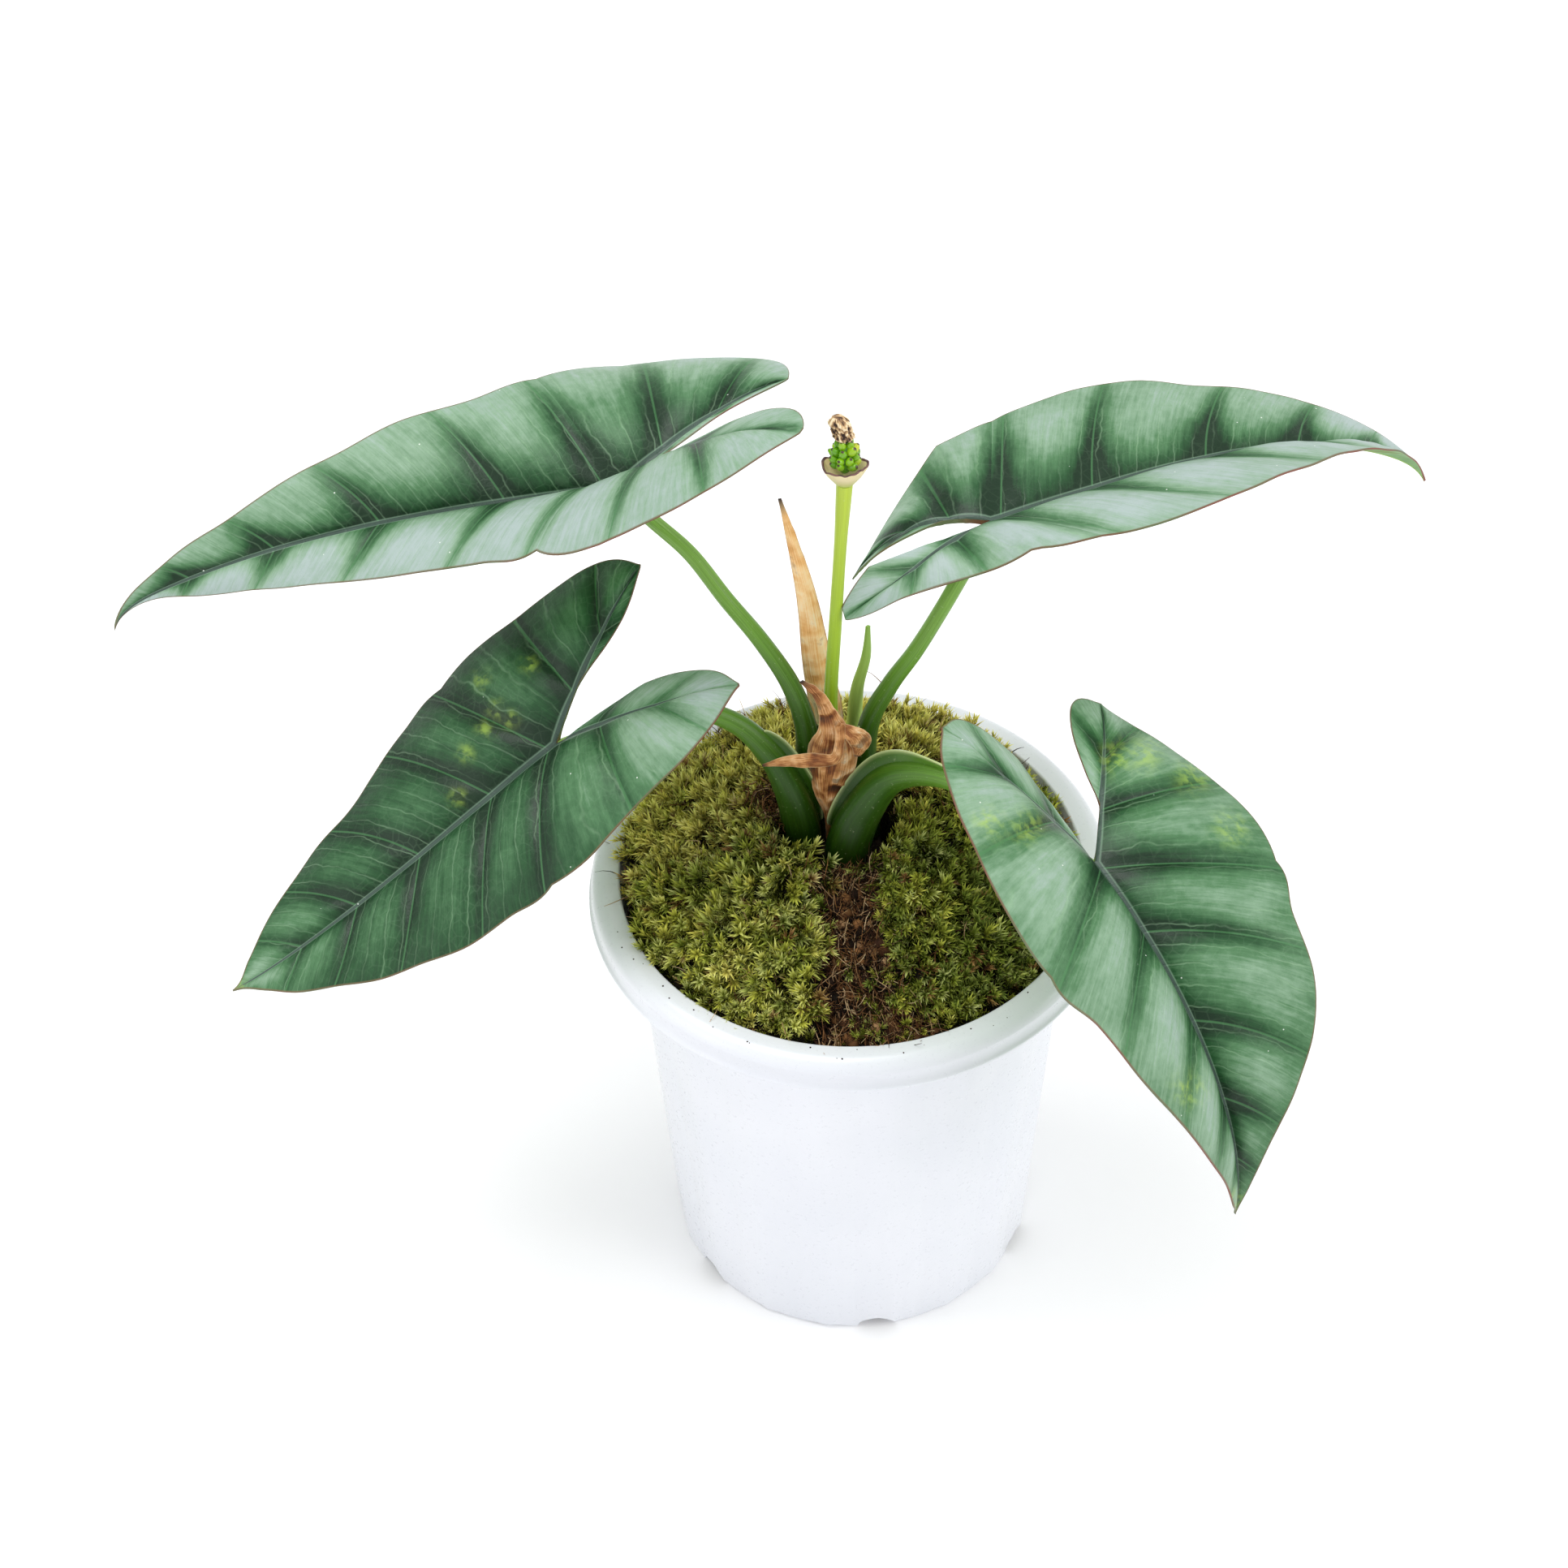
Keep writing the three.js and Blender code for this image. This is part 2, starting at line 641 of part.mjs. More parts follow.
function berriesGeometry() {
  const core = lathe([[0, 2.9], [1.2, 2.9], [2.2, 4.4], [2.2, 8], [1.5, 10.4], [0, 11.2]], 10);
  const berries = BERRIES.rings.flatMap(([radius, height, count], ring) =>
    Array.from({ length: count }, (_, i) => {
      const turn = ((i + 0.5 * (ring % 2)) / count) * 2 * Math.PI;
      const berry = new THREE.SphereGeometry(BERRIES.radius, 5, 4);
      berry.rotateX(Math.PI / 2).scale(1, 1, BERRIES.length / BERRIES.radius);
      berry.rotateY(rad(34 + 12 * draw(ring * 20 + i)));
      berry.translate(radius, 0, height + 0.5 * draw(ring * 31 + i));
      return solid(berry.rotateZ(turn));
    }),
  );
  return onStalk(geometryFromSolid(wasm.Manifold.union([solid(core), ...berries])));
}

function spadixGeometry() {
  const { foot, height, radius, lean } = SPADIX;
  const rings = Array.from({ length: 8 }, (_, k) => {
    const share = k / 7;
    const wide = radius * [0.55, 0.95, 0.82, 1, 0.86, 0.9, 0.62, 0.25][k];
    return Array.from({ length: 12 }, (_, i) => {
      const turn = (i / 12) * 2 * Math.PI;
      const crinkle = wide * (1 + 0.12 * (draw(k * 12 + i) - 0.5) * 2);
      return new THREE.Vector3(
        crinkle * Math.cos(turn) + lean * share,
        crinkle * Math.sin(turn) + 0.8 * share,
        foot + height * share,
      );
    });
  });
  return onStalk(loft(rings));
}

// Pot, soil, crown and moss

// Outer radius of the pot's plain body at a height.
function potOutside(z) {
  return POT.baseRadius + ((POT.shoulderRadius - POT.baseRadius) * z) / POT.shoulderHeight;
}

function potGeometry() {
  const { height, baseRadius, shoulderRadius, shoulderHeight, wall, floor } = POT;
  const { collarInside, collarOutside } = POT;
  const lip = height - POT.collarDrop;
  const outer = [0.5, 0.75, 1].map((share) => [potOutside(shoulderHeight * share), shoulderHeight * share]);
  const pot = lathe(
    [
      [0, 0],
      [baseRadius - 1.8, 0],
      [baseRadius, 1.8],
      ...outer,
      [collarInside + 1.4, lip + 0.2],
      [collarOutside - 0.7, lip],
      [collarOutside, lip + 0.6],
      [collarOutside, lip + 1.7],
      [collarOutside - 0.6, lip + 2.2],
      [collarOutside - 0.9, height - 3.4],
      [collarOutside - 2.6, height - 1],
      [collarOutside - 5, height],
      [collarInside, height - 0.4],
      [collarInside - 0.9, lip + 1],
      [shoulderRadius - wall, shoulderHeight - 1],
      [baseRadius - wall, floor],
      [0, floor],
    ],
    POT.sides,
  );
  const position = pot.attributes.position;
  for (let i = 0; i < position.count; i++) {
    const [x, y, z] = [position.getX(i), position.getY(i), position.getZ(i)];
    const radius = Math.hypot(x, y);
    if (z < 1 || z > shoulderHeight + 0.1 || radius < potOutside(z) - 0.2) continue;
    const panel = (((Math.atan2(y, x) / (2 * Math.PI)) * POT.panels) % 1) + 1;
    const swell = 1 + (POT.ridge * Math.cos(2 * Math.PI * panel) ** 3) / radius;
    position.setX(i, x * swell);
    position.setY(i, y * swell);
  }
  const notches = Array.from({ length: DRAIN.count }, (_, i) => {
    const [from, to] = DRAIN.reach;
    const bar = new THREE.CylinderGeometry(DRAIN.width / 2, DRAIN.width / 2, to - from, 14);
    bar.rotateZ(Math.PI / 2).scale(1, 1, DRAIN.height / (DRAIN.width / 2)).translate((from + to) / 2, 0, 0);
    return solid(bar.rotateZ(rad(DRAIN.firstAngle + (360 * i) / DRAIN.count)));
  });
  return geometryFromSolid(solid(pot).subtract(wasm.Manifold.union(notches)));
}

function soilGeometry() {
  const inside = (z) => potOutside(z) - POT.wall - SOIL.clearance;
  const bed = lathe(
    [
      [0, POT.floor + SEAT_GAP],
      [inside(POT.floor) - 1, POT.floor + SEAT_GAP],
      [inside(SOIL.top) - 0.6, SOIL.top - 1],
      [inside(SOIL.top) - 1.4, SOIL.top],
      [0, SOIL.top],
    ],
    48,
  );
  const depth = SOIL.top - CROWN.bottom + SEAT_GAP;
  const hole = new THREE.CylinderGeometry(CROWN.radius + 0.5, CROWN.radius + 0.5, depth + 2, 24);
  hole.rotateX(Math.PI / 2).translate(CROWN.x, CROWN.y, SOIL.top + 2 - (depth + 2) / 2);
  return geometryFromSolid(solid(bed).subtract(solid(hole)));
}

// The short thick stem under the moss, ringed by the scars of old leaves.
function crownGeometry() {
  const { radius, top, bottom, scarPitch } = CROWN;
  const rings = [];
  for (let z = bottom + 5; z < top - 4; z += scarPitch) rings.push([radius - 1, z], [radius - 0.1, z + 3.4]);
  const shoulder = [[radius - 0.6, top - 0.8], [radius - 1.2, top], [0, top]];
  const profile = [[0, bottom], [radius * 0.6, bottom + 0.6], ...rings, ...shoulder];
  return lathe(profile, 16).translate(CROWN.x, CROWN.y, 0);
}

// Height of the moss bed at a point: a low mound with broad lumps.
function mossHeight(x, y) {
  const from = Math.hypot(x - CROWN.x, y - CROWN.y);
  const share = clamp((from - MOSS.innerRadius) / (MOSS.brimRadius - MOSS.innerRadius), 0, 1);
  const mound = lerp(MOSS.crownHeight, MOSS.edgeHeight, share ** 1.7);
  return mound + MOSS.lump * Math.sin(x * 0.21 + 1.3) * Math.cos(y * 0.19 - 0.6) * (1 - share ** 4);
}

function cushionGeometry(index) {
  const here = CUSHIONS[index];
  const next = CUSHIONS[(index + 1) % CUSHIONS.length];
  const span = (next.from - here.from + 360) % 360;
  const columns = Math.max(3, Math.round(span / 8));
  const rows = 8;
  const top = [];
  const foot = [];
  for (let r = 0; r <= rows; r++)
    for (let c = 0; c <= columns; c++) {
      const share = r / rows;
      const wander = 5 * Math.sin(share * 5 + (c === columns ? next.from : here.from)) * share;
      const angle = rad(here.from + (span * c) / columns + (c === 0 || c === columns ? wander : 0));
      const [dx, dy] = [Math.cos(angle), Math.sin(angle)];
      const along = -(CROWN.x * dx + CROWN.y * dy);
      const rest = CROWN.x ** 2 + CROWN.y ** 2;
      const reach = (radius) => along + Math.sqrt(along * along - rest + radius * radius);
      const spot = (radius, z) => {
        const far = lerp(MOSS.innerRadius, reach(radius), share);
        const crack = c === 0 ? MOSS.joint / 2 : c === columns ? -MOSS.joint / 2 : 0;
        return new THREE.Vector3(CROWN.x + far * dx - crack * dy, CROWN.y + far * dy + crack * dx, z);
      };
      const rim = r === 0 || r === rows || c === 0 || c === columns;
      const above = spot(MOSS.brimRadius, 0);
      const tuft = rim ? -0.6 : MOSS.tuft * (((r + c) % 2) + 0.5 * draw(index * 200 + r * 20 + c) - 0.5);
      above.z = Math.max(mossHeight(above.x, above.y) + here.lift + tuft, MOSS.brimHeight);
      top.push(above);
      foot.push(spot(MOSS.footRadius, MOSS.bottom));
    }
  return closedBetween(top, foot, gridFaces(rows, columns));
}

// Materials

const finish = (color, roughness) => new THREE.MeshStandardMaterial({ color, roughness, metalness: 0 });
const MATERIAL = {
  pot: finish('#f4f5f7', 0.45),
  soil: finish('#3a281c', 0.95),
  moss: finish('#76862f', 0.9),
  peat: finish('#5a3d28', 0.95),
  blade: finish('#2c5a38', 0.5),
  stalk: finish('#4f8a2c', 0.45),
  flowerStalk: finish('#8fbf45', 0.5),
  spathe: finish('#cfcf9c', 0.6),
  berry: finish('#7cc02a', 0.35),
  spadix: finish('#8a6a48', 0.85),
  dry: finish('#c07a3c', 0.75),
  shoot: finish('#92bf52', 0.5),
};

// The plant in its pot

const plant = new THREE.Group();

function piece(name, geometry, material) {
  const mesh = new THREE.Mesh(geometry, material);
  mesh.name = name;
  plant.add(mesh);
}

piece('pot', potGeometry(), MATERIAL.pot);
piece('potting_mix', soilGeometry(), MATERIAL.soil);
piece('crown_stem', crownGeometry(), MATERIAL.peat);
CUSHIONS.forEach(({ name }, index) =>
  piece(name, cushionGeometry(index), name.includes('peat') ? MATERIAL.peat : MATERIAL.moss),
);
for (const name of Object.keys(LEAVES)) {
  piece('petiole_' + name, petioleGeometry(name), MATERIAL.stalk);
  piece('blade_' + name, bladeGeometry(LEAVES[name]), MATERIAL.blade);
}
const stem = PEDUNCLE.path.map((p) => new THREE.Vector3(...p));
piece('flower_stalk', stalk(stem, PEDUNCLE.radii, 16), MATERIAL.flowerStalk);
piece('spathe_cup', spatheGeometry(), MATERIAL.spathe);
piece('berries', berriesGeometry(), MATERIAL.berry);
piece('spadix_stub', spadixGeometry(), MATERIAL.spadix);
piece('bract_dry_tall', bractGeometry(BRACTS.bract_dry_tall), MATERIAL.dry);
piece('bract_dry_collar', bractGeometry(BRACTS.bract_dry_collar), MATERIAL.dry);
piece('bract_green', bractGeometry(BRACTS.bract_green), MATERIAL.shoot);

export default plant;
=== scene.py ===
"""A small jewel alocasia in a white nursery pot: four arrow-shaped leaves on sheathed stalks, a cut flower
stalk with green berries, dry papery bracts, a new shoot, and a bed of moss cushions with a ridge of peat.
Sizes and places are in millimetres, +Z is up, and the origin is the middle of the pot's flat underside."""
import json
import math

import bpy
import numpy as np
from mathutils import Matrix, Vector, noise

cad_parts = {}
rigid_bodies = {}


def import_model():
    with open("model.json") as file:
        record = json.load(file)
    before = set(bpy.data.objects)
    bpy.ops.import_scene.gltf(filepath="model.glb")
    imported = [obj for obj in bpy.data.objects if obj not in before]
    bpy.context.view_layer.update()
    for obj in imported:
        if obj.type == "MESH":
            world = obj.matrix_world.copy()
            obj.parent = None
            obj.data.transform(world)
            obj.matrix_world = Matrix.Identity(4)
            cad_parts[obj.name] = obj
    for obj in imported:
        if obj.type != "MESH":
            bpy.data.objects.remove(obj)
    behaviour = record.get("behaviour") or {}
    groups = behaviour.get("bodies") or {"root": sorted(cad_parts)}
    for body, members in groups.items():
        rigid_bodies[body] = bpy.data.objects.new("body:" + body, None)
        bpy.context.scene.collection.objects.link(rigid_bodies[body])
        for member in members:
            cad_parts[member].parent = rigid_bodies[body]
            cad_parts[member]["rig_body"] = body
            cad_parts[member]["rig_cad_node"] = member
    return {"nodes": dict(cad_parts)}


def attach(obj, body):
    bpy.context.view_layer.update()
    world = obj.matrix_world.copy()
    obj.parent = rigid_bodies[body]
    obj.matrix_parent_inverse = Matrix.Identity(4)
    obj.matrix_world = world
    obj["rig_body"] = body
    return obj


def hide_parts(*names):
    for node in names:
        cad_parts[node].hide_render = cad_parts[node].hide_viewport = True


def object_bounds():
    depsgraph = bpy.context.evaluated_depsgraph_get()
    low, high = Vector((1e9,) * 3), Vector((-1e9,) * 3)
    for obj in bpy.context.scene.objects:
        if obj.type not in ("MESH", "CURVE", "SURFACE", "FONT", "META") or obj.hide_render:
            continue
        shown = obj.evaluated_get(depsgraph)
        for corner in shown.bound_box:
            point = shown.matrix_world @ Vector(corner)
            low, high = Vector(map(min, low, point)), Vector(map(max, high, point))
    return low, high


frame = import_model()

cad_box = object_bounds()
MM = 0.001
WELD = 0.02  # points closer than this are one

# Camera and studio

PHOTO_SIZE = 1932  # pixels on each side of the square photograph
LENS, SENSOR = 85, 36
CAMERA_PITCH, CAMERA_ROLL = math.radians(46), math.radians(-1.4)
EYE = np.array([-16.0, -619.0, 799.0])

CAMERA_AHEAD = np.array([0, math.cos(CAMERA_PITCH), -math.sin(CAMERA_PITCH)])
_level = np.array([1.0, 0, 0])
_upright = np.array([0, math.sin(CAMERA_PITCH), math.cos(CAMERA_PITCH)])
CAMERA_RIGHT = _level * math.cos(CAMERA_ROLL) + _upright * math.sin(CAMERA_ROLL)
CAMERA_UP = _upright * math.cos(CAMERA_ROLL) - _level * math.sin(CAMERA_ROLL)
FOCAL = LENS / SENSOR * PHOTO_SIZE

# Each lamp's name, its place and size in metres, and its power in watts
LAMPS = [("key", (-0.4, 0.1, 1.75), 1.0, 15), ("fill", (1.2, -0.5, 1.0), 1.0, 8),
         ("low", (-1.4, -0.6, 0.6), 1.0, 3)]
LAMP_AIM = (0, 0, 0.15)
SKY_STRENGTH, FLOOR_SIZE, FLOOR_GLOW = 0.74, 8, 0.06

# The pot, its soil and its moss

POT = {
    "height": 128,
    "base_radius": 46.6,
    "shoulder_radius": 54.6,
    "shoulder_height": 117,
    "wall": 1.6,
    "floor": 3,
    "collar_inside": 57.2,
    "collar_outside": 65,
    "collar_drop": 8.4,
    "panels": 18,
    "ridge": 0.45,
    "sides": 216,
}
DRAIN = {"count": 6, "width": 10, "height": 4.2, "reach": (36, 52), "first_angle": -84}
CROWN = {"x": -3, "y": 3, "radius": 12}
TIP_RADIUS = 59  # a sprig whose tip would stand farther out is cut short
UPRIGHT_FROM, UPRIGHT_OVER = 46, 9  # sprigs stand up from this radius on, fully after this many millimetres
BROWN_SHARE = 0.05
MOSS_FOOT = 118  # the cushions are lumpy above this height only
# Tufts of dry roots: a pixel of the photograph, the height there, how far the tuft spreads, the number of its
# threads, their length and their direction
ROOT_TUFTS = [
    ((957, 985), 145, 3.0, 260, 5.5, (0, -0.5, 0.1)),
    ((985, 996), 144, 0.1, 1, 9, (0.9, -0.5, -0.1)),
    ((1086, 846), 139, 0.1, 1, 10, (0.35, 0, 1)),
]
SPRIG_LEAVES = 28
SPRIG_TEMPLATES = 5
# Sprigs to a square millimetre, their length, and how yellow, green or brown they are: 0 is yellow green,
# 0.5 is mid green and 1 is brown. Pale is the share of sprigs with whitish tips.
CUSHIONS = {
    "moss_front_left": {"density": 0.6, "length": 8.0, "tint": 0.42, "pale": 0.55, "seed": 11},
    "moss_front_right": {"density": 0.6, "length": 7.2, "tint": 0.6, "pale": 0.25, "seed": 12},
    "moss_right": {"density": 0.6, "length": 7.2, "tint": 0.46, "pale": 0.2, "seed": 13},
    "moss_back": {"density": 0.55, "length": 7.2, "tint": 0.0, "pale": 0.7, "seed": 14},
    "moss_left": {"density": 0.62, "length": 7.6, "tint": 0.02, "pale": 0.8, "seed": 15},
}
# How far the loose peat reaches from the ridge's middle over the cushions beside it, where it ends at the
# back, and its threads and lumps to a square millimetre
PEAT = {"left": 9.5, "right": 8, "beside": ("moss_front_left", "moss_front_right"), "back": -6,
        "threads": 2.8, "lumps": 0.3, "spill": 2.4}
LOOSE_THREADS = 0.09  # to a square millimetre of moss
THREAD_LENGTHS, SPILL_LENGTHS, THREAD_RADIUS, ROOT_RADIUS = (3, 9), (3, 8), 0.2, 0.26
# Crumbs along the soil's edge and specks on the rim, each laid on a ring
CRUMBS = {"count": 900, "angles": (0, 360), "radii": (52.5, 55.6), "heights": (117.6, 120.6),
          "sizes": (0.35, 1.0)}
SPECKS = {"count": 26, "angles": (195, 350), "radii": (58.4, 61.5), "heights": (127.95,),
          "sizes": (0.1, 0.28)}

# Leaves

BLADE = {
    "thickness": 0.7,
    "margin_thickness": 0.45,
    "rib_depth": 0.9,
    "quilt": 2.2,
    "quilt_reach": 16,
    "slit": 0.7,
    "lobe_round": 7,
    "vein_angle_hub": 62,
    "vein_angle_tip": 38,
    "vein_bow": 0.25,
    "rows_to_interval": 17,
    "columns": 42,
    "fine_veins": 2.6,
    "inner_columns": 14,
}
VEINS = [-1, -0.64, -0.3, 0.02, 0.2, 0.43, 0.63, 0.8, 1]
CREASE = 1.5  # how far the rounding of the midrib's crease reaches
LOBE_SPAN = 40  # over this length the hub's fold turns into the lobes' fold, and the lobes' pitch is reached
CURL_SPAN = 30  # the leaf's curl is its turn over this width
SPINE_STEPS = 60

# Reach of the lateral veins at -1, -2/3, -1/3, 0, 1/8 ... 7/8 and 1 along the ribs. Angles are in degrees.
# Left and right are as seen from the hub towards the tip.
LEAVES = {
    "back_left": {
        "hub": (-53.5, 36, 222), "heading": 179, "sweep": 5, "pitch": -7, "droop": -2, "sag": -23,
        "hook": -45, "lobe_pitch": 12, "roll": -29, "twist": -84, "fold_lobe": 75, "fold_hub": 49,
        "fold_tip": -4, "lift": 39, "curl": 48, "midrib": 133, "lobe": (65, 47), "splay": (61, 38),
        "left": (17, 22.5, 27.5, 35, 28.5, 23, 19, 15, 11.5, 7.5, 2, 0),
        "right": (3, 25.5, 37, 40, 33, 29.5, 23.5, 19, 13.5, 9.5, 4.5, 0),
        "sinus_left": (7.5, 1.5), "sinus_right": (1.5, 1.5),
    },
    "front_left": {
        "hub": (-70, 1.5, 172), "heading": 200, "sweep": 1, "pitch": -33, "droop": -12, "sag": 23,
        "hook": 11, "lobe_pitch": 15, "roll": -7, "twist": 1, "fold_lobe": 32, "fold_hub": 26,
        "fold_tip": 5, "lift": -3, "curl": 34, "midrib": 101, "lobe": (44, 43), "splay": (23, 34),
        "left": (5, 15, 25, 37, 36, 35, 31, 27, 21, 15, 7, 0),
        "right": (3, 16.5, 25, 38, 37, 33, 29, 27, 22, 16, 8, 0),
        "sinus_left": (12, 10), "sinus_right": (4, 0),
    },
    "back_right": {
        "hub": (34, 29, 215), "heading": 24, "sweep": 2, "pitch": -1, "droop": 6, "sag": -54,
        "hook": -17, "lobe_pitch": 2, "roll": -9, "twist": -1, "fold_lobe": -57, "fold_hub": 18,
        "fold_tip": 27, "lift": -1, "curl": 14, "midrib": 136, "lobe": (32, 36), "splay": (33, 14),
        "left": (4, 11.5, 20, 35, 39, 37, 30, 25, 19, 13, 7, 0),
        "right": (8, 5, 12, 32, 37, 35, 31, 25, 19, 12, 5, 0),
        "sinus_left": (5, 0), "sinus_right": (10, 8),
    },
    "front_right": {
        "hub": (55.5, -37.5, 168), "heading": -57, "sweep": 4, "pitch": -15, "droop": -60, "sag": -19,
        "hook": 2, "lobe_pitch": -4, "roll": -14, "twist": 21, "fold_lobe": 25, "fold_hub": 32,
        "fold_tip": 40, "lift": -2, "curl": 28, "midrib": 100, "lobe": (45, 45), "splay": (40, 30),
        "left": (3, 14.5, 31, 44, 40, 38, 32, 24, 16, 9, 4, 0),
        "right": (3, 15.5, 29, 44, 39, 35, 29, 23, 17, 11, 6, 0),
        "sinus_left": (14, 0), "sinus_right": (15, 17),
    },
}

# How silvery the left and the right half are, partly the leaf's own silver pattern and partly painted sheen,
# the pale reflection of the bright studio on halves seen at a grazing angle: beside the rib, at the margin,
# added midway between veins, taken away along a vein, and added at the lobe's end and towards the tip.
SILVER_AND_PAINTED_SHEEN = {
    "back_left": ((0.55, 0.92, 0.24, 0.62, -0.1, 0.08), (-0.06, 0.78, 0.28, 0.44, 0.14, 0.0)),
    "front_left": ((0.04, 0.16, 0.26, 0.28, 0.6, 0.4), (0.0, 0.1, 0.3, 0.3, 0.1, 0.45)),
    "back_right": ((0.0, 0.74, 0.38, 0.62, 0.0, 0.6), (0.56, 0.84, 0.28, 0.54, 0.05, 0.1)),
    "front_right": ((0.14, 0.52, 0.32, 0.4, 0.1, -0.1), (0.34, 0.62, 0.32, 0.38, 0.05, 0.0)),
}
# Pixels of the photograph where a leaf has a blemish, with the blemish's radius in pixels.
LIME_SPOTS = {
    "back_left": ((), 8),
    "front_left": (
        ((653, 819), (594, 838), (613, 874), (628, 886), (598, 899), (575, 928), (565, 983), (292, 1215)), 9),
    "back_right": ((), 8),
    "front_right": (
        ((1217, 1014), (1264, 1020), (1375, 935), (1409, 931), (1469, 957), (1516, 1021), (1463, 1343),
         (1519, 1486)), 17),
}

# Stalks

PATH_STEPS = 240
PETIOLES = {
    "back_left": {
        "path": [(-9.5, 9.5, 132), (-10.2, 9, 150), (-10.4, 8.2, 169), (-14, 9.6, 182.4), (-20.6, 12, 194.4),
                 (-28.6, 14, 206.4), (-36.6, 20, 215.4), (-45, 27.5, 219)],
        "radii": (3.4, 3.3, 3, 2.5, 2.2, 2, 1.9, 1.8, 1.8),
        "wing": (0.06, 0.3, 3),
    },
    "front_left": {
        "path": [(-11.5, 0.5, 132), (-12, 1, 142), (-14.5, 2, 154), (-19, 4, 164), (-27, 6, 173),
                 (-38, 6, 178), (-50, 4.5, 176.5), (-60, 3.5, 173.5)],
        "radii": (4.4, 4.6, 4, 3.2, 2.6, 2.3, 2.1, 2, 1.9),
        "wing": (0.1, 0.42, 2.6),
    },
    "back_right": {
        "path": [(4.5, 8.5, 132), (3.5, 9.5, 150), (5, 11.5, 167), (10, 13, 178), (16, 14, 188),
                 (22, 16, 199), (28.5, 21.5, 208.5)],
        "radii": (3.3, 3.2, 2.9, 2.5, 2.2, 2, 1.9, 1.9, 1.8),
        "wing": (0.06, 0.34, 2.4),
    },
    "front_right": {
        "path": [(-1.5, -4.5, 132), (-0.5, -4.5, 142), (3, -3, 152), (10, -3.5, 163), (20, -8.5, 168.5),
                 (33, -18, 169.5), (46, -29, 167)],
        "radii": (5.6, 5.4, 4.8, 3.8, 2.8, 2.4, 2.2, 2, 1.9),
        "wing": (0.12, 0.56, 2.8),
    },
}
PEDUNCLE = {
    "path": [(-2.6, 4.8, 132), (-3.5, 6.2, 152), (-4.4, 8, 176), (-3, 8.6, 204), (-1.8, 7.6, 228),
             (-0.76, 6.25, 248.4)],
    "radii": (1.8, 1.8, 1.7, 1.6, 1.5, 1.5, 1.9),
}
SPATHE = {"base": (-0.7, 6.2, 247.7), "height": 5.6, "foot_radius": 1.9, "rim_radius": 5.15, "tilt": -12}
# Each ring of berries has its radius, its height over the cup's foot and its count.
STIGMA = 0.3  # a berry's scar, as a share of its radius
YELLOW_SHARE = 0.12
BERRIES = {"rings": [(2.4, 5.5, 7), (2.5, 7.2, 8), (2.1, 8.8, 7), (1.4, 10.2, 5)],
           "radius": 1.0, "length": 1.3, "core_radius": 2.1, "core_height": 7, "core_stretch": 1.9}
SPADIX = {"foot": 11.6, "height": 6, "radius": 2.4, "lean": -1.4}
# Papery and leafy bracts, each a ribbon with half widths spread evenly along its path
BRACTS = {
    "bract_dry_tall": [
        {
            "path": [(-4, 12, 131.5), (-4.6, 13, 146), (-5.2, 13.6, 166), (-7.4, 13.6, 184),
                     (-9.6, 13.4, 206), (-12.8, 11.8, 226), (-15.4, 9.6, 241)],
            "half": (2, 2.6, 3.7, 3.8, 3.3, 2.6, 1.9, 1.1, 0.3), "facing": (0, -1, 0.1), "cup": 50,
        },
    ],
    "bract_dry_collar": [
        {
            "path": [(-5, 2.6, 131.5), (-5.2, 1.6, 146), (-5.6, 0.6, 153), (-5.2, -0.4, 159),
                     (-4.6, -0.8, 165), (-4.2, -0.8, 170), (-4, -0.4, 175), (-5, 0.2, 180), (-6.4, 0, 185),
                     (-8.6, -0.8, 190), (-11.4, -1.6, 194)],
            "half": (0.8, 0.9, 1.2, 2.6, 4.4, 5.8, 5.6, 3.4, 1.9, 1.4, 0.5), "facing": (-0.1, -1, 0.15),
            "cup": 42,
        },
        {
            "path": [(-2.4, -2.2, 179.4), (-2.6, -3.6, 175), (-4, -4.4, 170.6), (-10, -4.6, 170.4),
                     (-15, -4.4, 170.2), (-21, -4, 168.7)],
            "half": (1.2, 1.1, 1.5, 1.7, 1.2, 0.25), "facing": (0.1, -1, 0.5), "cup": 40,
        },
        {
            "path": [(-2.6, -1.6, 178.6), (0.4, -2.4, 177), (2.6, -2.2, 173.6), (1.6, -1.4, 168.6)],
            "half": (1, 2.2, 2.6, 0.8), "facing": (0.3, -1, 0.3), "cup": 24,
        },
    ],
    "bract_green": [
        {
            "path": [(1, 12.2, 131.5), (1.2, 14.6, 146), (1.6, 15.8, 162), (2.4, 15.8, 174),
                     (4.4, 16.2, 184), (4.8, 16.6, 194)],
            "half": (1.4, 1.5, 1.6, 1.6, 1.3, 0.9, 0.25), "facing": (0.2, -1, 0), "cup": 70,
        },
    ],
}


# Shaping tools

def through(values, x):
    """A smooth curve through evenly spaced values, read at x from 0 to len(values) - 1."""
    values = np.asarray(values, float)
    last = len(values) - 1
    i = np.clip(np.floor(x).astype(int), 0, last - 1)
    t = x - i
    a, b, c, d = (values[np.clip(i + k, 0, last)] for k in (-1, 0, 1, 2))
    return 0.5 * (2 * b + (c - a) * t + (2 * a - 5 * b + 4 * c - d) * t**2 + (3 * b - a - 3 * c + d) * t**3)


def unit(vectors):
    return vectors / np.maximum(np.linalg.norm(vectors, axis=-1, keepdims=True), 1e-12)


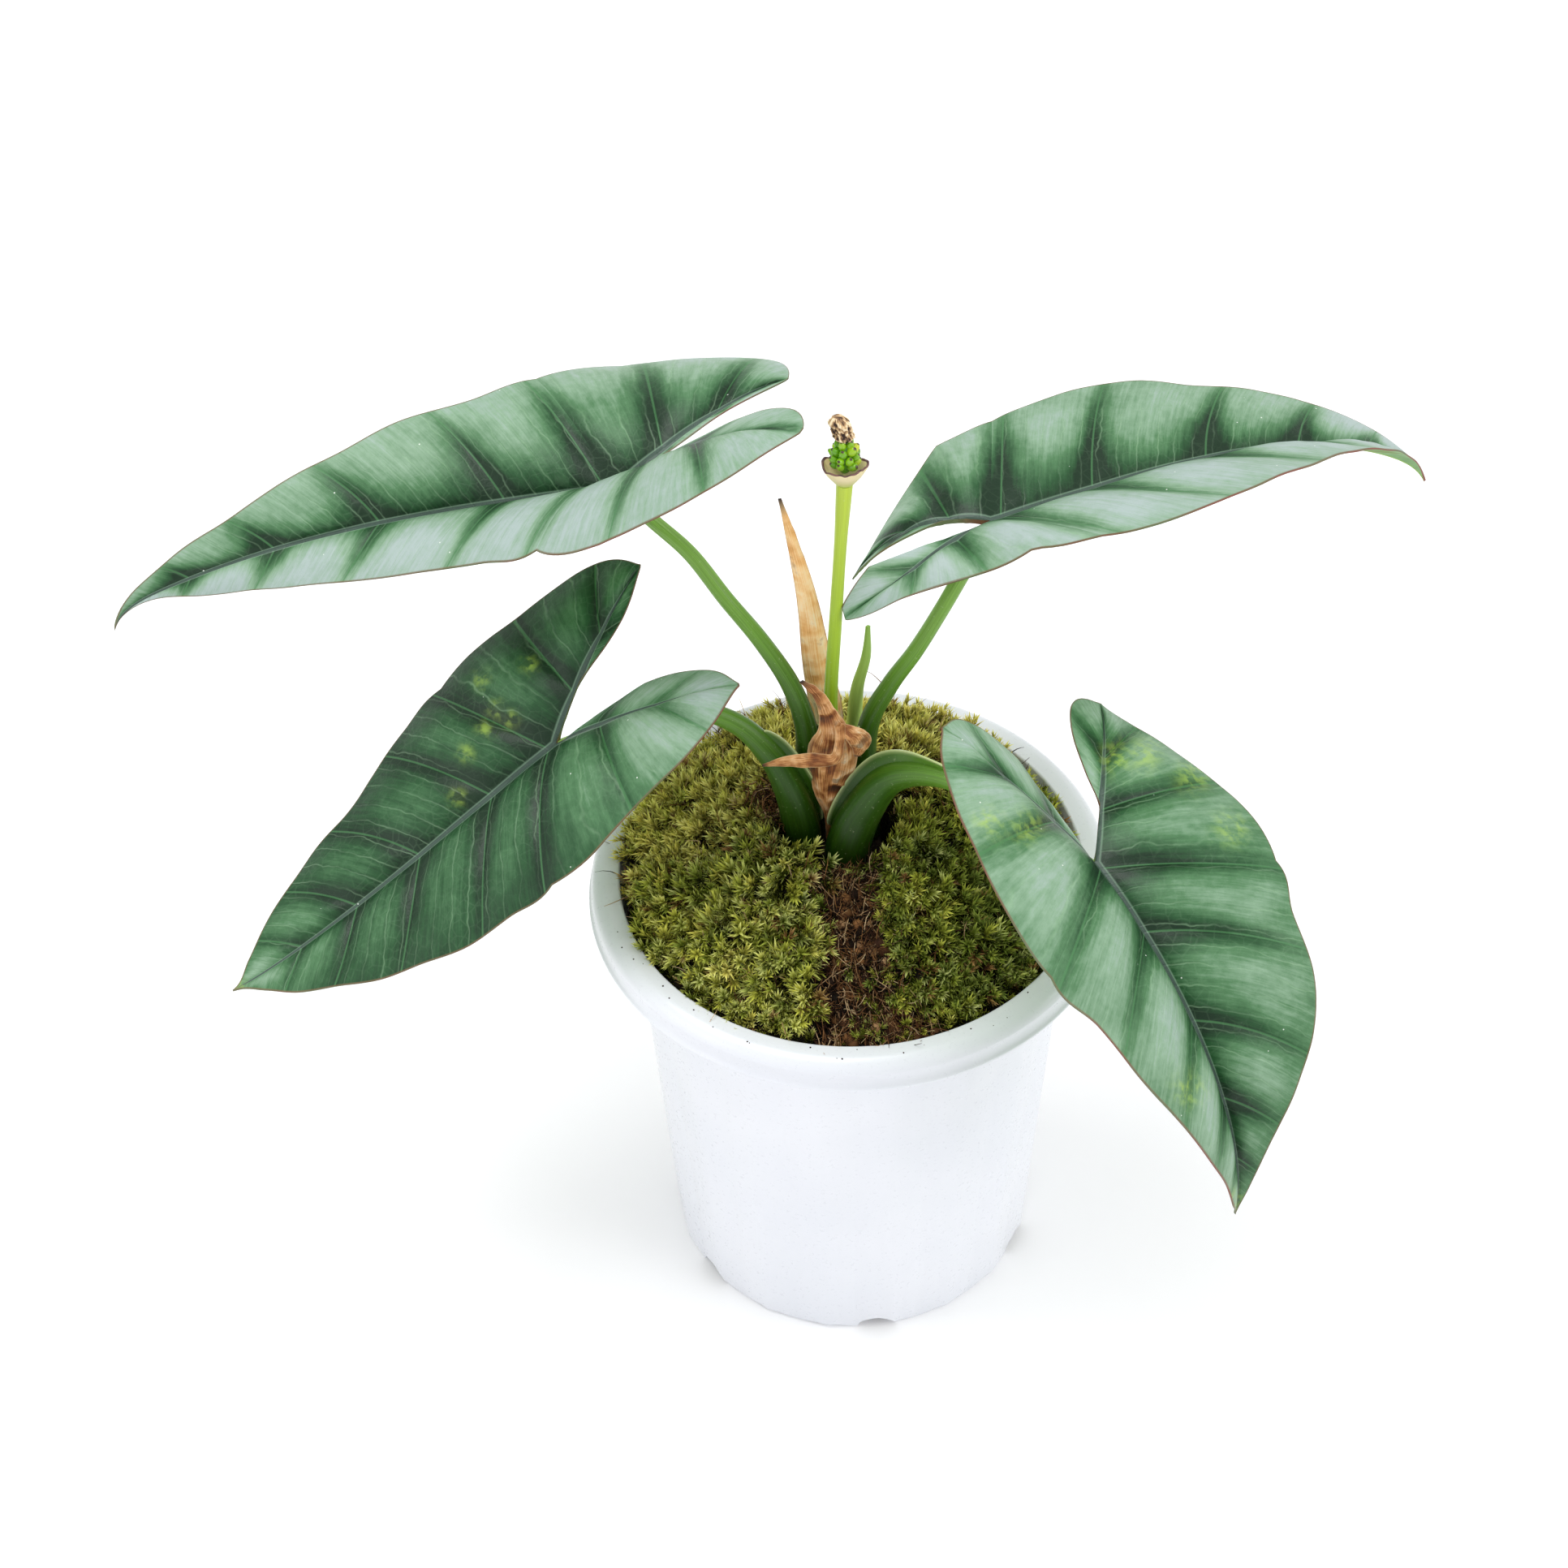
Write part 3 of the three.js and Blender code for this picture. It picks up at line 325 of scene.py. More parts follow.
def smooth_path(points, count):
    """Evenly spaced points on a smooth curve through the given ones, and the curve's directions there."""
    p = np.array([2 * np.array(points[0]) - points[1], *points, 2 * np.array(points[-1]) - points[-2]], float)
    fine = []
    for k in range(1, len(p) - 2):
        d0, d1, d2 = (max(np.linalg.norm(p[k + j] - p[k + j - 1]) ** 0.5, 1e-6) for j in (0, 1, 2))
        leave = ((p[k] - p[k - 1]) / d0 - (p[k + 1] - p[k - 1]) / (d0 + d1)) * d1 + (p[k + 1] - p[k])
        arrive = (p[k + 1] - p[k]) + ((p[k + 2] - p[k + 1]) / d2 - (p[k + 2] - p[k]) / (d1 + d2)) * d1
        t = np.linspace(0, 1, 41)[:-1, None]
        bend = 3 * (p[k + 1] - p[k]) - 2 * leave - arrive
        fine.append(p[k] + leave * t + bend * t**2 + (2 * (p[k] - p[k + 1]) + leave + arrive) * t**3)
    fine = np.vstack([*fine, p[-2][None]])
    far = np.concatenate([[0], np.cumsum(np.linalg.norm(np.diff(fine, axis=0), axis=1))])
    where = np.linspace(0, far[-1], count)
    spots = read_at(where, far, fine)
    return spots, unit(np.gradient(spots, axis=0))


def carried_frames(along):
    """Two directions across a path at each of its points, which turn with it and don't twist."""
    side = unit(np.cross(along[0], (0.3, 1, 0.2)))
    sides = [side]
    for d in along[1:]:
        side = unit(side - d * (side @ d))
        sides.append(side)
    sides = np.array(sides)
    return sides, np.cross(along, sides)


def grid_faces(rows, columns, start=0, flip=False):
    """Faces of a grid of points stored row by row, with rows and columns counted in faces."""
    r, c = np.meshgrid(np.arange(rows), np.arange(columns), indexing="ij")
    a = (start + r * (columns + 1) + c).ravel()
    b = a + columns + 1
    quads = np.stack([a, b, b + 1, a + 1], axis=1)
    return quads[:, ::-1] if flip else quads


def crinkle(points, size, seed=0.0):
    """Soft noise from -1 to 1 at each point, whose lumps are about size across."""
    shift = Vector((seed * 17.3, seed * 5.1, seed * 9.7))
    return np.array([noise.noise(Vector(p) / size + shift) for p in points])


def added(name, data):
    """A new object in the scene."""
    made = bpy.data.objects.new(name, data)
    bpy.context.scene.collection.objects.link(made)
    return made


def store(piece, **values):
    """Keeps each set of values as an attribute of the mesh, with one number for each point."""
    for key, numbers in values.items():
        layer = piece.data.attributes.new(key, "FLOAT", "POINT")
        layer.data.foreach_set("value", np.asarray(numbers, np.float32))


def places(piece):
    """Where the piece's points are, in millimetres."""
    return np.array([v.co for v in piece.data.vertices]) / MM


def mesh_piece(name, points, faces, **values):
    """A mesh object through points in millimetres, with one attribute for each set of values."""
    mesh = bpy.data.meshes.new(name)
    points = np.asarray(points, np.float32) * MM
    faces = [np.asarray(f) for f in faces] if isinstance(faces, list) else faces
    if isinstance(faces, np.ndarray):
        mesh.vertices.add(len(points))
        mesh.vertices.foreach_set("co", points.ravel())
        mesh.loops.add(faces.size)
        mesh.loops.foreach_set("vertex_index", faces.ravel().astype(np.int32))
        mesh.polygons.add(len(faces))
        mesh.polygons.foreach_set("loop_start", np.arange(0, faces.size, faces.shape[1], dtype=np.int32))
        mesh.update(calc_edges=True)
    else:
        mesh.from_pydata(points.tolist(), [], [f.tolist() for f in faces])
    piece = added(name, mesh)
    store(piece, **values)
    return piece


def select_only(*pieces):
    bpy.ops.object.select_all(action="DESELECT")
    for piece in pieces:
        piece.select_set(True)
    bpy.context.view_layer.objects.active = pieces[0]


def apply_modifier(piece, kind, **settings):
    modifier = piece.modifiers.new(kind.lower(), kind)
    for key, value in settings.items():
        setattr(modifier, key, value)
    select_only(piece)
    bpy.ops.object.modifier_apply(modifier=modifier.name)


def in_edit_mode(piece, work):
    """Runs work with the whole of the piece selected in edit mode."""
    select_only(piece)
    bpy.ops.object.mode_set(mode="EDIT")
    bpy.ops.mesh.select_all(action="SELECT")
    work()
    bpy.ops.object.mode_set(mode="OBJECT")


def weld(piece, outwards=False):
    def work():
        bpy.ops.mesh.remove_doubles(threshold=WELD * MM)
        bpy.ops.mesh.dissolve_degenerate(threshold=0.002 * MM)
        if outwards:
            bpy.ops.mesh.normals_make_consistent(inside=False)
    in_edit_mode(piece, work)


def smooth(piece, angle=40):
    select_only(piece)
    bpy.ops.object.shade_smooth_by_angle(angle=math.radians(angle))


def joined(name, *pieces):
    """The pieces as one object with that name."""
    select_only(*pieces)
    if len(pieces) > 1:
        bpy.ops.object.join()
    whole = bpy.context.view_layer.objects.active
    whole.name = name
    whole.data.name = name
    return whole


def placed(piece):
    """Moves the object's place into its mesh."""
    select_only(piece)
    bpy.ops.object.transform_apply(location=True, rotation=True, scale=True)
    return piece


def belongs(piece, replaces=()):
    """The piece rides with the plant and stands for these nodes."""
    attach(piece, "root")
    if replaces:
        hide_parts(*replaces)
    return piece


def clad(piece, *materials):
    """Gives the piece these materials and no others."""
    piece.data.materials.clear()
    for material in materials:
        piece.data.materials.append(material)
    return piece


def complete(piece, material, angle, node_name):
    """Clads and smooths the piece, which rides with the plant and stands for that node."""
    smooth(clad(piece, material), angle)
    return belongs(piece, [node_name])


def pixels(points):
    """Where points in millimetres show in the photograph."""
    away = np.asarray(points, float) - EYE
    depth = away @ CAMERA_AHEAD
    half = PHOTO_SIZE / 2
    return half + FOCAL * (away @ CAMERA_RIGHT) / depth, half - FOCAL * (away @ CAMERA_UP) / depth


def seen_at(pixel, height):
    """The point at that height in millimetres that shows at a pixel of the photograph."""
    x, y = (np.array(pixel) - PHOTO_SIZE / 2) / FOCAL
    ray = CAMERA_AHEAD + CAMERA_RIGHT * x - CAMERA_UP * y
    return EYE + ray * (height - EYE[2]) / ray[2]


# Materials

def colour(code):
    """An sRGB hex value as the linear colour that a shader takes."""
    parts = [int(code[i:i + 2], 16) / 255 for i in (1, 3, 5)]
    return (*[p / 12.92 if p <= 0.04045 else ((p + 0.055) / 1.055) ** 2.4 for p in parts], 1.0)


def fill(tree, socket, value):
    """Links a socket, or sets it to a number or to an sRGB hex colour."""
    if isinstance(value, bpy.types.NodeSocket):
        tree.links.new(value, socket)
    else:
        socket.default_value = colour(value) if isinstance(value, str) else value


# A node's sockets are a list, from socket 0 on, or a dictionary. Map Range takes its value, the range that it
# comes from and the range that it goes to. Mix of colours has its share in socket 0, its colours in 6 and 7,
# and gives output 2.
RGBA = {"out": 2, "data_type": "RGBA"}
SOFT = {"interpolation_type": "SMOOTHSTEP"}


def node(material, kind, sockets=None, out=0, stops=None, **settings):
    """Adds a node with its settings, its values and its links, and gives back one of its outputs."""
    tree = material.node_tree
    made = tree.nodes.new("ShaderNode" + kind)
    for key, value in settings.items():
        setattr(made, key, value)
    if stops:
        stops = [(at, colour(shade)) for at, shade in stops]
        marks = made.color_ramp.elements
        (marks[0].position, marks[0].color), (marks[1].position, marks[1].color) = stops[0], stops[-1]
        for place, shade in stops[1:-1]:
            marks.new(place).color = shade
    for socket, value in enumerate(sockets) if isinstance(sockets, list) else (sockets or {}).items():
        fill(tree, made.inputs[socket], value)
    return made.outputs[out]


def finish(name, **sockets):
    """A new material with these values or links on its main shader."""
    material = bpy.data.materials.new(name)
    material.use_nodes = True
    return set_finish(material, **sockets)


def set_finish(material, **sockets):
    """Sets or links values on the material's main shader, and gives back the material."""
    shader = next(n for n in material.node_tree.nodes if n.type == "BSDF_PRINCIPLED")
    for key, value in sockets.items():
        fill(material.node_tree, shader.inputs[key.replace("_", " ")], value)
    return material


def moulded_polypropylene():
    """Injection-moulded polypropylene: a satin cool white with faint cloudiness and very fine scuffs."""
    m = finish("moulded_white_polypropylene", IOR=1.49, Roughness=0.3, Coat_Weight=0.25, Coat_Roughness=0.12)
    place = node(m, "TexCoord", out="Object")
    clouds = node(m, "TexNoise", {"Vector": place, "Scale": 22, "Detail": 3})
    white = node(m, "ValToRGB", [clouds], stops=[(0.3, "#dfe2e9"), (0.7, "#e6e8ee")])
    scuffs = node(m, "TexNoise", {"Vector": place, "Scale": 900, "Detail": 4, "Roughness": 0.7})
    shine = node(m, "MapRange", [scuffs, 0.3, 0.7, 0.24, 0.4])
    relief = node(m, "Bump", {"Strength": 0.02, "Distance": 0.0001, "Height": scuffs})
    return set_finish(m, Base_Color=white, Roughness=shine, Normal=relief)


def crumbly_peat():
    """Moist peat and bark potting mix: dull dark brown crumbs 1 to 3 mm across with lighter fibres."""
    m = finish("peat_potting_mix", IOR=1.4, Roughness=0.92)
    place = node(m, "TexCoord", out="Object")
    crumbs = node(m, "TexVoronoi", {"Vector": place, "Scale": 520})
    patch = node(m, "TexNoise", {"Vector": place, "Scale": 180, "Detail": 5})
    brown = node(m, "ValToRGB", [patch], stops=[(0.3, "#170f0a"), (0.55, "#33221a"), (0.75, "#5b4030")])
    relief = node(m, "Bump", {"Strength": 0.9, "Distance": 0.0012, "Height": crumbs})
    return set_finish(m, Base_Color=brown, Normal=relief)


def moss_leaf():
    """Live feather moss: thin waxy leaflets with painted shade that darkens each sprig's foot, and dry pale
    tips on some sprigs.
    """
    m = finish("live_feather_moss", IOR=1.42, Roughness=0.7, Specular_IOR_Level=0.15)
    tint, reach, pale = (
        node(m, "Attribute", attribute_name=key, out="Fac") for key in ("tint", "reach", "pale"))
    body = node(m, "ValToRGB", [tint], stops=[
        (0.0, "#fff072"), (0.3, "#dcdd4a"), (0.55, "#a4b22e"),
        (0.8, "#6c8218"), (0.86, "#966c30"), (1.0, "#b07442")])
    # Painted shade: each sprig's foot, deep in the cushion, fades to nearly black.
    depth = node(m, "MapRange", [reach, 0.48, 0.94, 0.02, 1.0])
    shaded = node(m, "Mix", {0: depth, 6: "#121603", 7: body}, **RGBA)
    outer = node(m, "MapRange", [reach, 0.62, 0.98])
    tips = node(m, "Math", [outer, pale], operation="MULTIPLY")
    done = node(m, "Mix", {0: tips, 6: shaded, 7: "#f0f1a6"}, **RGBA)
    return set_finish(m, Base_Color=done)


def moss_ground():
    """The moss's own litter: old brown and dark green stems pressed together under the live sprigs, with its
    nearly black tones painted shade for the gaps between them.
    """
    m = finish("moss_litter", IOR=1.4, Roughness=0.95)
    place = node(m, "TexCoord", out="Object")
    patch = node(m, "TexNoise", {"Vector": place, "Scale": 260, "Detail": 6, "Roughness": 0.65})
    # The nearly black darkest stop is painted shade in the gaps between the sprigs.
    shade = node(m, "ValToRGB", [patch], stops=[(0.3, "#080602"), (0.52, "#1a1407"), (0.72, "#3f2b16")])
    relief = node(m, "Bump", {"Strength": 1.0, "Distance": 0.0015, "Height": patch})
    return set_finish(m, Base_Color=shade, Normal=relief)


def plant_fibre():
    """Dead roots and peat fibres: dry, dull threads from nearly black to straw."""
    m = finish("dry_peat_fibre", IOR=1.45, Roughness=0.85, Specular_IOR_Level=0.25)
    tint = node(m, "Attribute", attribute_name="tint", out="Fac")
    shade = node(m, "ValToRGB", [tint], stops=[
        (0.12, "#120a04"), (0.4, "#45291a"), (0.62, "#96693f"), (0.9, "#e2c69c")])
    return set_finish(m, Base_Color=shade)


def blade_upper():
    """The leaf's upper side: a waxy silvery green cuticle over dark green veins, satin with a soft gloss. Its
    palest grey blue silver is partly painted sheen, the reflection of the bright studio.
    """
    m = finish("silvery_leaf_cuticle", IOR=1.45, Specular_IOR_Level=0.36, Coat_Weight=0.04,
               Coat_Roughness=0.3)
    place = node(m, "TexCoord", out="Object")
    value = {key: node(m, "Attribute", attribute_name=key, out="Fac")
             for key in ("silver_and_painted_sheen", "vein", "rib", "edge", "fine", "lime")}
    cloud = node(m, "TexNoise", {"Vector": place, "Scale": 60, "Detail": 5, "Roughness": 0.6})
    patchy = node(m, "MapRange", [cloud, 0.25, 0.75, -0.1, 0.1])
    # The silver, partly painted sheen, is streaked along the fine veins
    strip = node(m, "CombineXYZ", [node(m, "Math", [value["fine"], 2.2], operation="MULTIPLY"),
                                   node(m, "Math", [value["rib"], 0.06], operation="MULTIPLY")])
    streaks = node(m, "TexNoise", {"Vector": strip, "Scale": 1.0, "Detail": 5, "Roughness": 0.7})
    streaked = node(m, "MapRange", [streaks, 0.3, 0.7, -0.11, 0.11])
    mottle = node(m, "TexNoise", {"Vector": place, "Scale": 420, "Detail": 4, "Roughness": 0.6})
    mottled = node(m, "MapRange", [mottle, 0.3, 0.7, -0.04, 0.04])
    uneven = node(m, "Math", [node(m, "Math", [patchy, mottled]), streaked], operation="ADD")
    silver_and_painted_sheen = node(m, "Math", [value["silver_and_painted_sheen"], uneven], operation="ADD", use_clamp=True)
    # The palest grey blue stop is partly painted sheen, the reflection of the bright studio.
    shades = node(m, "ValToRGB", [silver_and_painted_sheen], stops=[
        (0.0, "#0d2c16"), (0.25, "#24502c"), (0.5, "#4c7850"), (0.75, "#82a286"),
        (1.0, "#a4b5b1")])
    # Fine veins run beside the large ones, and finer ones join them like a net
    wobble = node(m, "TexNoise", {"Vector": place, "Scale": 110, "Detail": 3})
    phase = node(m, "Math", [wobble, 1.6, value["fine"]], operation="MULTIPLY_ADD")
    wave = node(m, "Math", [phase, 1.0], operation="PINGPONG")
    line = node(m, "MapRange", [wave, 0.0, 0.13, 1.0, 0.0], **SOFT)
    net = node(m, "TexVoronoi", {"Vector": place, "Scale": 340}, feature="DISTANCE_TO_EDGE")
    mesh = node(m, "MapRange", [net, 0.0, 0.09, 0.2, 0.0], **SOFT)
    fine = node(m, "Math", [line, mesh], operation="MAXIMUM")
    worn = node(m, "MapRange", [cloud, 0.4, 0.62, 0.05, 0.28])
    fine_share = node(m, "Math", [fine, worn], operation="MULTIPLY")
    lined = node(m, "Mix", {0: fine_share, 6: shades, 7: "#98bd96"}, **RGBA)
    # Lateral veins: a thin lighter line in the dark trough
    thread = node(m, "MapRange", [value["vein"], 0.1, 0.34, 0.6, 0.0], **SOFT)
    veined = node(m, "Mix", {0: thread, 6: lined, 7: "#4a7f4f"}, **RGBA)
    # The ribs: a dull dark band between two pale edges
    pale = node(m, "MapRange", [value["rib"], 1.0, 1.5, 0.45, 0.0], **SOFT)
    edged = node(m, "Mix", {0: pale, 6: veined, 7: "#8fae96"}, **RGBA)
    band = node(m, "MapRange", [value["rib"], 0.75, 1.0, 1.0, 0.0], **SOFT)
    ribbed = node(m, "Mix", {0: band, 6: edged, 7: "#43564c"}, **RGBA)
    # Mottled blemishes
    speck = node(m, "TexNoise", {"Vector": place, "Scale": 420, "Detail": 3})
    broken = node(m, "MapRange", [speck, 0.42, 0.6, 0.05, 0.62])
    lime_share = node(m, "Math", [value["lime"], broken], operation="MULTIPLY", use_clamp=True)
    limed = node(m, "Mix", {0: lime_share, 6: ribbed, 7: "#a3c24e"}, **RGBA)
    # A thin dark red line at the margin
    rim = node(m, "MapRange", [value["edge"], 0.12, 0.36, 0.8, 0.0], **SOFT)
    rimmed = node(m, "Mix", {0: rim, 6: limed, 7: "#6f5c42"}, **RGBA)
    # Specks of dust
    dots = node(m, "TexVoronoi", {"Vector": place, "Scale": 260, "Randomness": 1.0})
    dot = node(m, "MapRange", [dots, 0.035, 0.06, 0.8, 0.0])
    pick = node(m, "TexVoronoi", {"Vector": place, "Scale": 260, "Randomness": 1.0}, out="Color")
    few = node(m, "Math", [pick, 0.68], operation="GREATER_THAN")
    dust = node(m, "Math", [dot, few], operation="MULTIPLY")
    dusted = node(m, "Mix", {0: dust, 6: rimmed, 7: "#e8efe6"}, **RGBA)
    height = node(m, "Math", [fine, -0.4, mottle], operation="MULTIPLY_ADD")
    ridge = node(m, "Math", [thread, -0.6, height], operation="MULTIPLY_ADD")
    relief = node(m, "Bump", {"Strength": 0.4, "Distance": 0.0004, "Height": ridge})
    shine = node(m, "MapRange", [silver_and_painted_sheen, 0.0, 1.0, 0.4, 0.5])
    return set_finish(m, Base_Color=dusted, Roughness=shine, Normal=relief)


def blade_underside():
    """The leaf's underside: matt pale green tissue, with ribs that are a little darker."""
    m = finish("matt_leaf_underside", IOR=1.42, Roughness=0.6)
    place = node(m, "TexCoord", out="Object")
    vein, rib = (node(m, "Attribute", attribute_name=key, out="Fac") for key in ("vein", "rib"))
    cloud = node(m, "TexNoise", {"Vector": place, "Scale": 120, "Detail": 4})
    base = node(m, "ValToRGB", [cloud], stops=[(0.3, "#6f9a5f"), (0.7, "#93b87c")])
    thread = node(m, "MapRange", [vein, 0.2, 0.8, 0.8, 0.0], **SOFT)
    veined = node(m, "Mix", {0: thread, 6: base, 7: "#7f8a4c"}, **RGBA)
    band = node(m, "MapRange", [rib, 0.9, 1.5, 1.0, 0.0], **SOFT)
    ribbed = node(m, "Mix", {0: band, 6: veined, 7: "#8bb04a"}, **RGBA)
    relief = node(m, "Bump", {"Strength": 0.3, "Distance": 0.0003, "Height": cloud})
    return set_finish(m, Base_Color=ribbed, Normal=relief)


def blade_margin():
    """The leaf's cut edge: a thin horny line of dull reddish brown."""
    m = finish("horny_leaf_margin", IOR=1.45, Roughness=0.5)
    place = node(m, "TexCoord", out="Object")
    cloud = node(m, "TexNoise", {"Vector": place, "Scale": 60, "Detail": 2})
    shade = node(m, "ValToRGB", [cloud], stops=[(0.4, "#5e6b45"), (0.6, "#7c4a38")])
    return set_finish(m, Base_Color=shade)


def stalk_skin(name, shades, sheath_edge, streak):
    """Live stalk tissue: smooth waxy skin with fine long fibres, glossy, with pale thin sheath edges."""
    m = finish(name, IOR=1.45, Roughness=0.34, Specular_IOR_Level=0.36, Coat_Weight=0.05, Coat_Roughness=0.25)
    place = node(m, "TexCoord", out="Object")
    along, around, edge = (
        node(m, "Attribute", attribute_name=key, out="Fac") for key in ("along", "around", "edge"))
    body = node(m, "ValToRGB", [along], stops=shades)
    # The noise goes round a circle, so that the fibres have no seam
    turn = node(m, "Math", [around, 2 * math.pi], operation="MULTIPLY")
    strip = node(m, "CombineXYZ", [
        node(m, "Math", [node(m, "Math", [turn], operation="COSINE"), 9.0], operation="MULTIPLY"),
        node(m, "Math", [node(m, "Math", [turn], operation="SINE"), 9.0], operation="MULTIPLY"),
        node(m, "Math", [along, 5.0], operation="MULTIPLY")])
    fibres = node(m, "TexNoise", {"Vector": strip, "Scale": 1.0, "Detail": 5, "Roughness": 0.6})
    dark = node(m, "MapRange", [fibres, 0.32, 0.68, 1 - streak, 1 + 0.6 * streak])
    grey = node(m, "CombineXYZ", [dark, dark, dark])
    streaked = node(m, "Mix", {0: 1.0, 6: body, 7: grey}, **RGBA, blend_type="MULTIPLY")
    flecks = node(m, "TexNoise", {"Vector": place, "Scale": 1300, "Detail": 2})
    fleck = node(m, "MapRange", [flecks, 0.66, 0.72, 0.0, 0.14])
    flecked = node(m, "Mix", {0: fleck, 6: streaked, 7: "#cfdab0"}, **RGBA)
    edged = node(m, "Mix", {0: edge, 6: flecked, 7: sheath_edge}, **RGBA)
    relief = node(m, "Bump", {"Strength": 0.2, "Distance": 0.0002, "Height": fibres})
    return set_finish(m, Base_Color=edged, Normal=relief)


def papery_bract(name, shades, edge_shade):
    """A dried bract: brittle tan paper with fine darker long veins and near-black withered tips, with light
    and shade painted on its folds.
    """
    m = finish(name, IOR=1.5, Roughness=0.65)
    place = node(m, "TexCoord", out="Object")
    along, across, edge = (
        node(m, "Attribute", attribute_name=key, out="Fac") for key in ("along", "around", "edge"))
    strip = node(m, "CombineXYZ", [node(m, "Math", [across, 30.0], operation="MULTIPLY"),
                                   node(m, "Math", [along, 7.0], operation="MULTIPLY")])
    veins = node(m, "TexNoise", {"Vector": strip, "Scale": 1.0, "Detail": 5, "Roughness": 0.6})
    blotch = node(m, "TexNoise", {"Vector": place, "Scale": 260, "Detail": 5})
    mixed = node(m, "Mix", {0: 0.45, 2: veins, 3: blotch}, out=0)
    # Painted light and shade: the paper is lighter where a fold stands out and darker in its creases.
    fold = node(m, "Attribute", attribute_name="fold", out="Fac")
    veins_with_painted_fold_light = node(m, "Math", [fold, 0.24, mixed], operation="MULTIPLY_ADD")
    body = node(m, "ValToRGB", [veins_with_painted_fold_light], stops=shades)
    rubbed = node(m, "MapRange", [blotch, 0.58, 0.68, 0.0, 0.6])
    spotted = node(m, "Mix", {0: rubbed, 6: body, 7: shades[0][1]}, **RGBA)
    tip = node(m, "MapRange", [along, 0.94, 1.0])
    tipped = node(m, "Mix", {0: tip, 6: spotted, 7: "#2c1a18"}, **RGBA)
    rim = node(m, "Math", [edge, 0.6], operation="MULTIPLY")
    edged = node(m, "Mix", {0: rim, 6: tipped, 7: edge_shade}, **RGBA)
    relief = node(m, "Bump", {"Strength": 0.6, "Distance": 0.0004, "Height": mixed})
    return set_finish(m, Base_Color=edged, Normal=relief)


def young_bract():
    """A new shoot's sheath: tender pale yellow green skin with a satin gloss and fine long ribs."""
    m = finish("tender_shoot_skin", IOR=1.42, Roughness=0.42)
    along, across = (node(m, "Attribute", attribute_name=key, out="Fac") for key in ("along", "around"))
    strip = node(m, "CombineXYZ", [node(m, "Math", [across, 20], operation="MULTIPLY"), along])
    ribs = node(m, "TexNoise", {"Vector": strip, "Scale": 1.0, "Detail": 2})
    green = node(m, "ValToRGB", [along], stops=[
        (0.5, "#bcd873"), (0.8, "#add068"), (1.0, "#8fb553")])
    share = node(m, "MapRange", [ribs, 0.4, 0.6, 0.0, 0.25])
    ribbed = node(m, "Mix", {0: share, 6: green, 7: "#6f9a3a"}, **RGBA)
    return set_finish(m, Base_Color=ribbed)


def spathe_wall():
    """The cut spathe's fleshy wall: cream, green at its foot, with a dried purple brown rim."""
    m = finish("fleshy_spathe_wall", IOR=1.42, Roughness=0.5)
    place = node(m, "TexCoord", out="Object")
    rim, height = (node(m, "Attribute", attribute_name=key, out="Fac") for key in ("rim", "along"))
    cloud = node(m, "TexNoise", {"Vector": place, "Scale": 700, "Detail": 4})
    flesh = node(m, "ValToRGB", [height], stops=[
        (0.0, "#a9bf4f"), (0.3, "#cfc98c"), (0.6, "#e4d7ac"), (1.0, "#e9d9a8")])
    ragged = node(m, "Math", [cloud, 0.25, rim], operation="MULTIPLY_ADD")
    dried = node(m, "MapRange", [ragged, 0.93, 1.0], **SOFT)
    shade = node(m, "ValToRGB", [cloud], stops=[(0.35, "#38202a"), (0.65, "#7d5a52")])
    done = node(m, "Mix", {0: dried, 6: flesh, 7: shade}, **RGBA)
    relief = node(m, "Bump", {"Strength": 0.4, "Distance": 0.0003, "Height": cloud})
    return set_finish(m, Base_Color=done, Normal=relief)


def berry_skin():
    """A green berry: taut glossy skin, some yellowish, with the dark scar of its stigma."""
    m = finish("glossy_berry_skin", IOR=1.45, Roughness=0.2, Coat_Weight=0.4, Coat_Roughness=0.12)
    tint, scar = (node(m, "Attribute", attribute_name=key, out="Fac") for key in ("tint", "scar"))
    body = node(m, "ValToRGB", [tint], stops=[
        (0.0, "#4f940c"), (0.45, "#83b818"), (0.8, "#b8d028"), (1.0, "#ecd63a")])
    done = node(m, "Mix", {0: scar, 6: body, 7: "#3a2414"}, **RGBA)
    return set_finish(m, Base_Color=done)


def withered_tissue():
    """The withered spadix: corky cream and tan tissue, with shade painted dark into its wrinkles and pits."""
    m = finish("corky_withered_tissue", IOR=1.45, Roughness=0.8)
    place = node(m, "TexCoord", out="Object")
    height = node(m, "Attribute", attribute_name="height", out="Fac")
    cloud = node(m, "TexNoise", {"Vector": place, "Scale": 900, "Detail": 4})
    # Painted shade: the lower the tissue lies among its lumps, the darker it is painted.
    mixed = node(m, "Math", [cloud, 0.5, height], operation="MULTIPLY_ADD")
    shade = node(m, "ValToRGB", [mixed], stops=[
        (0.5, "#33221d"), (0.7, "#8f6f50"), (0.88, "#d2b184"), (1.0, "#ecd9b6")])
    relief = node(m, "Bump", {"Strength": 0.7, "Distance": 0.0004, "Height": cloud})
    return set_finish(m, Base_Color=shade, Normal=relief)


# The pot

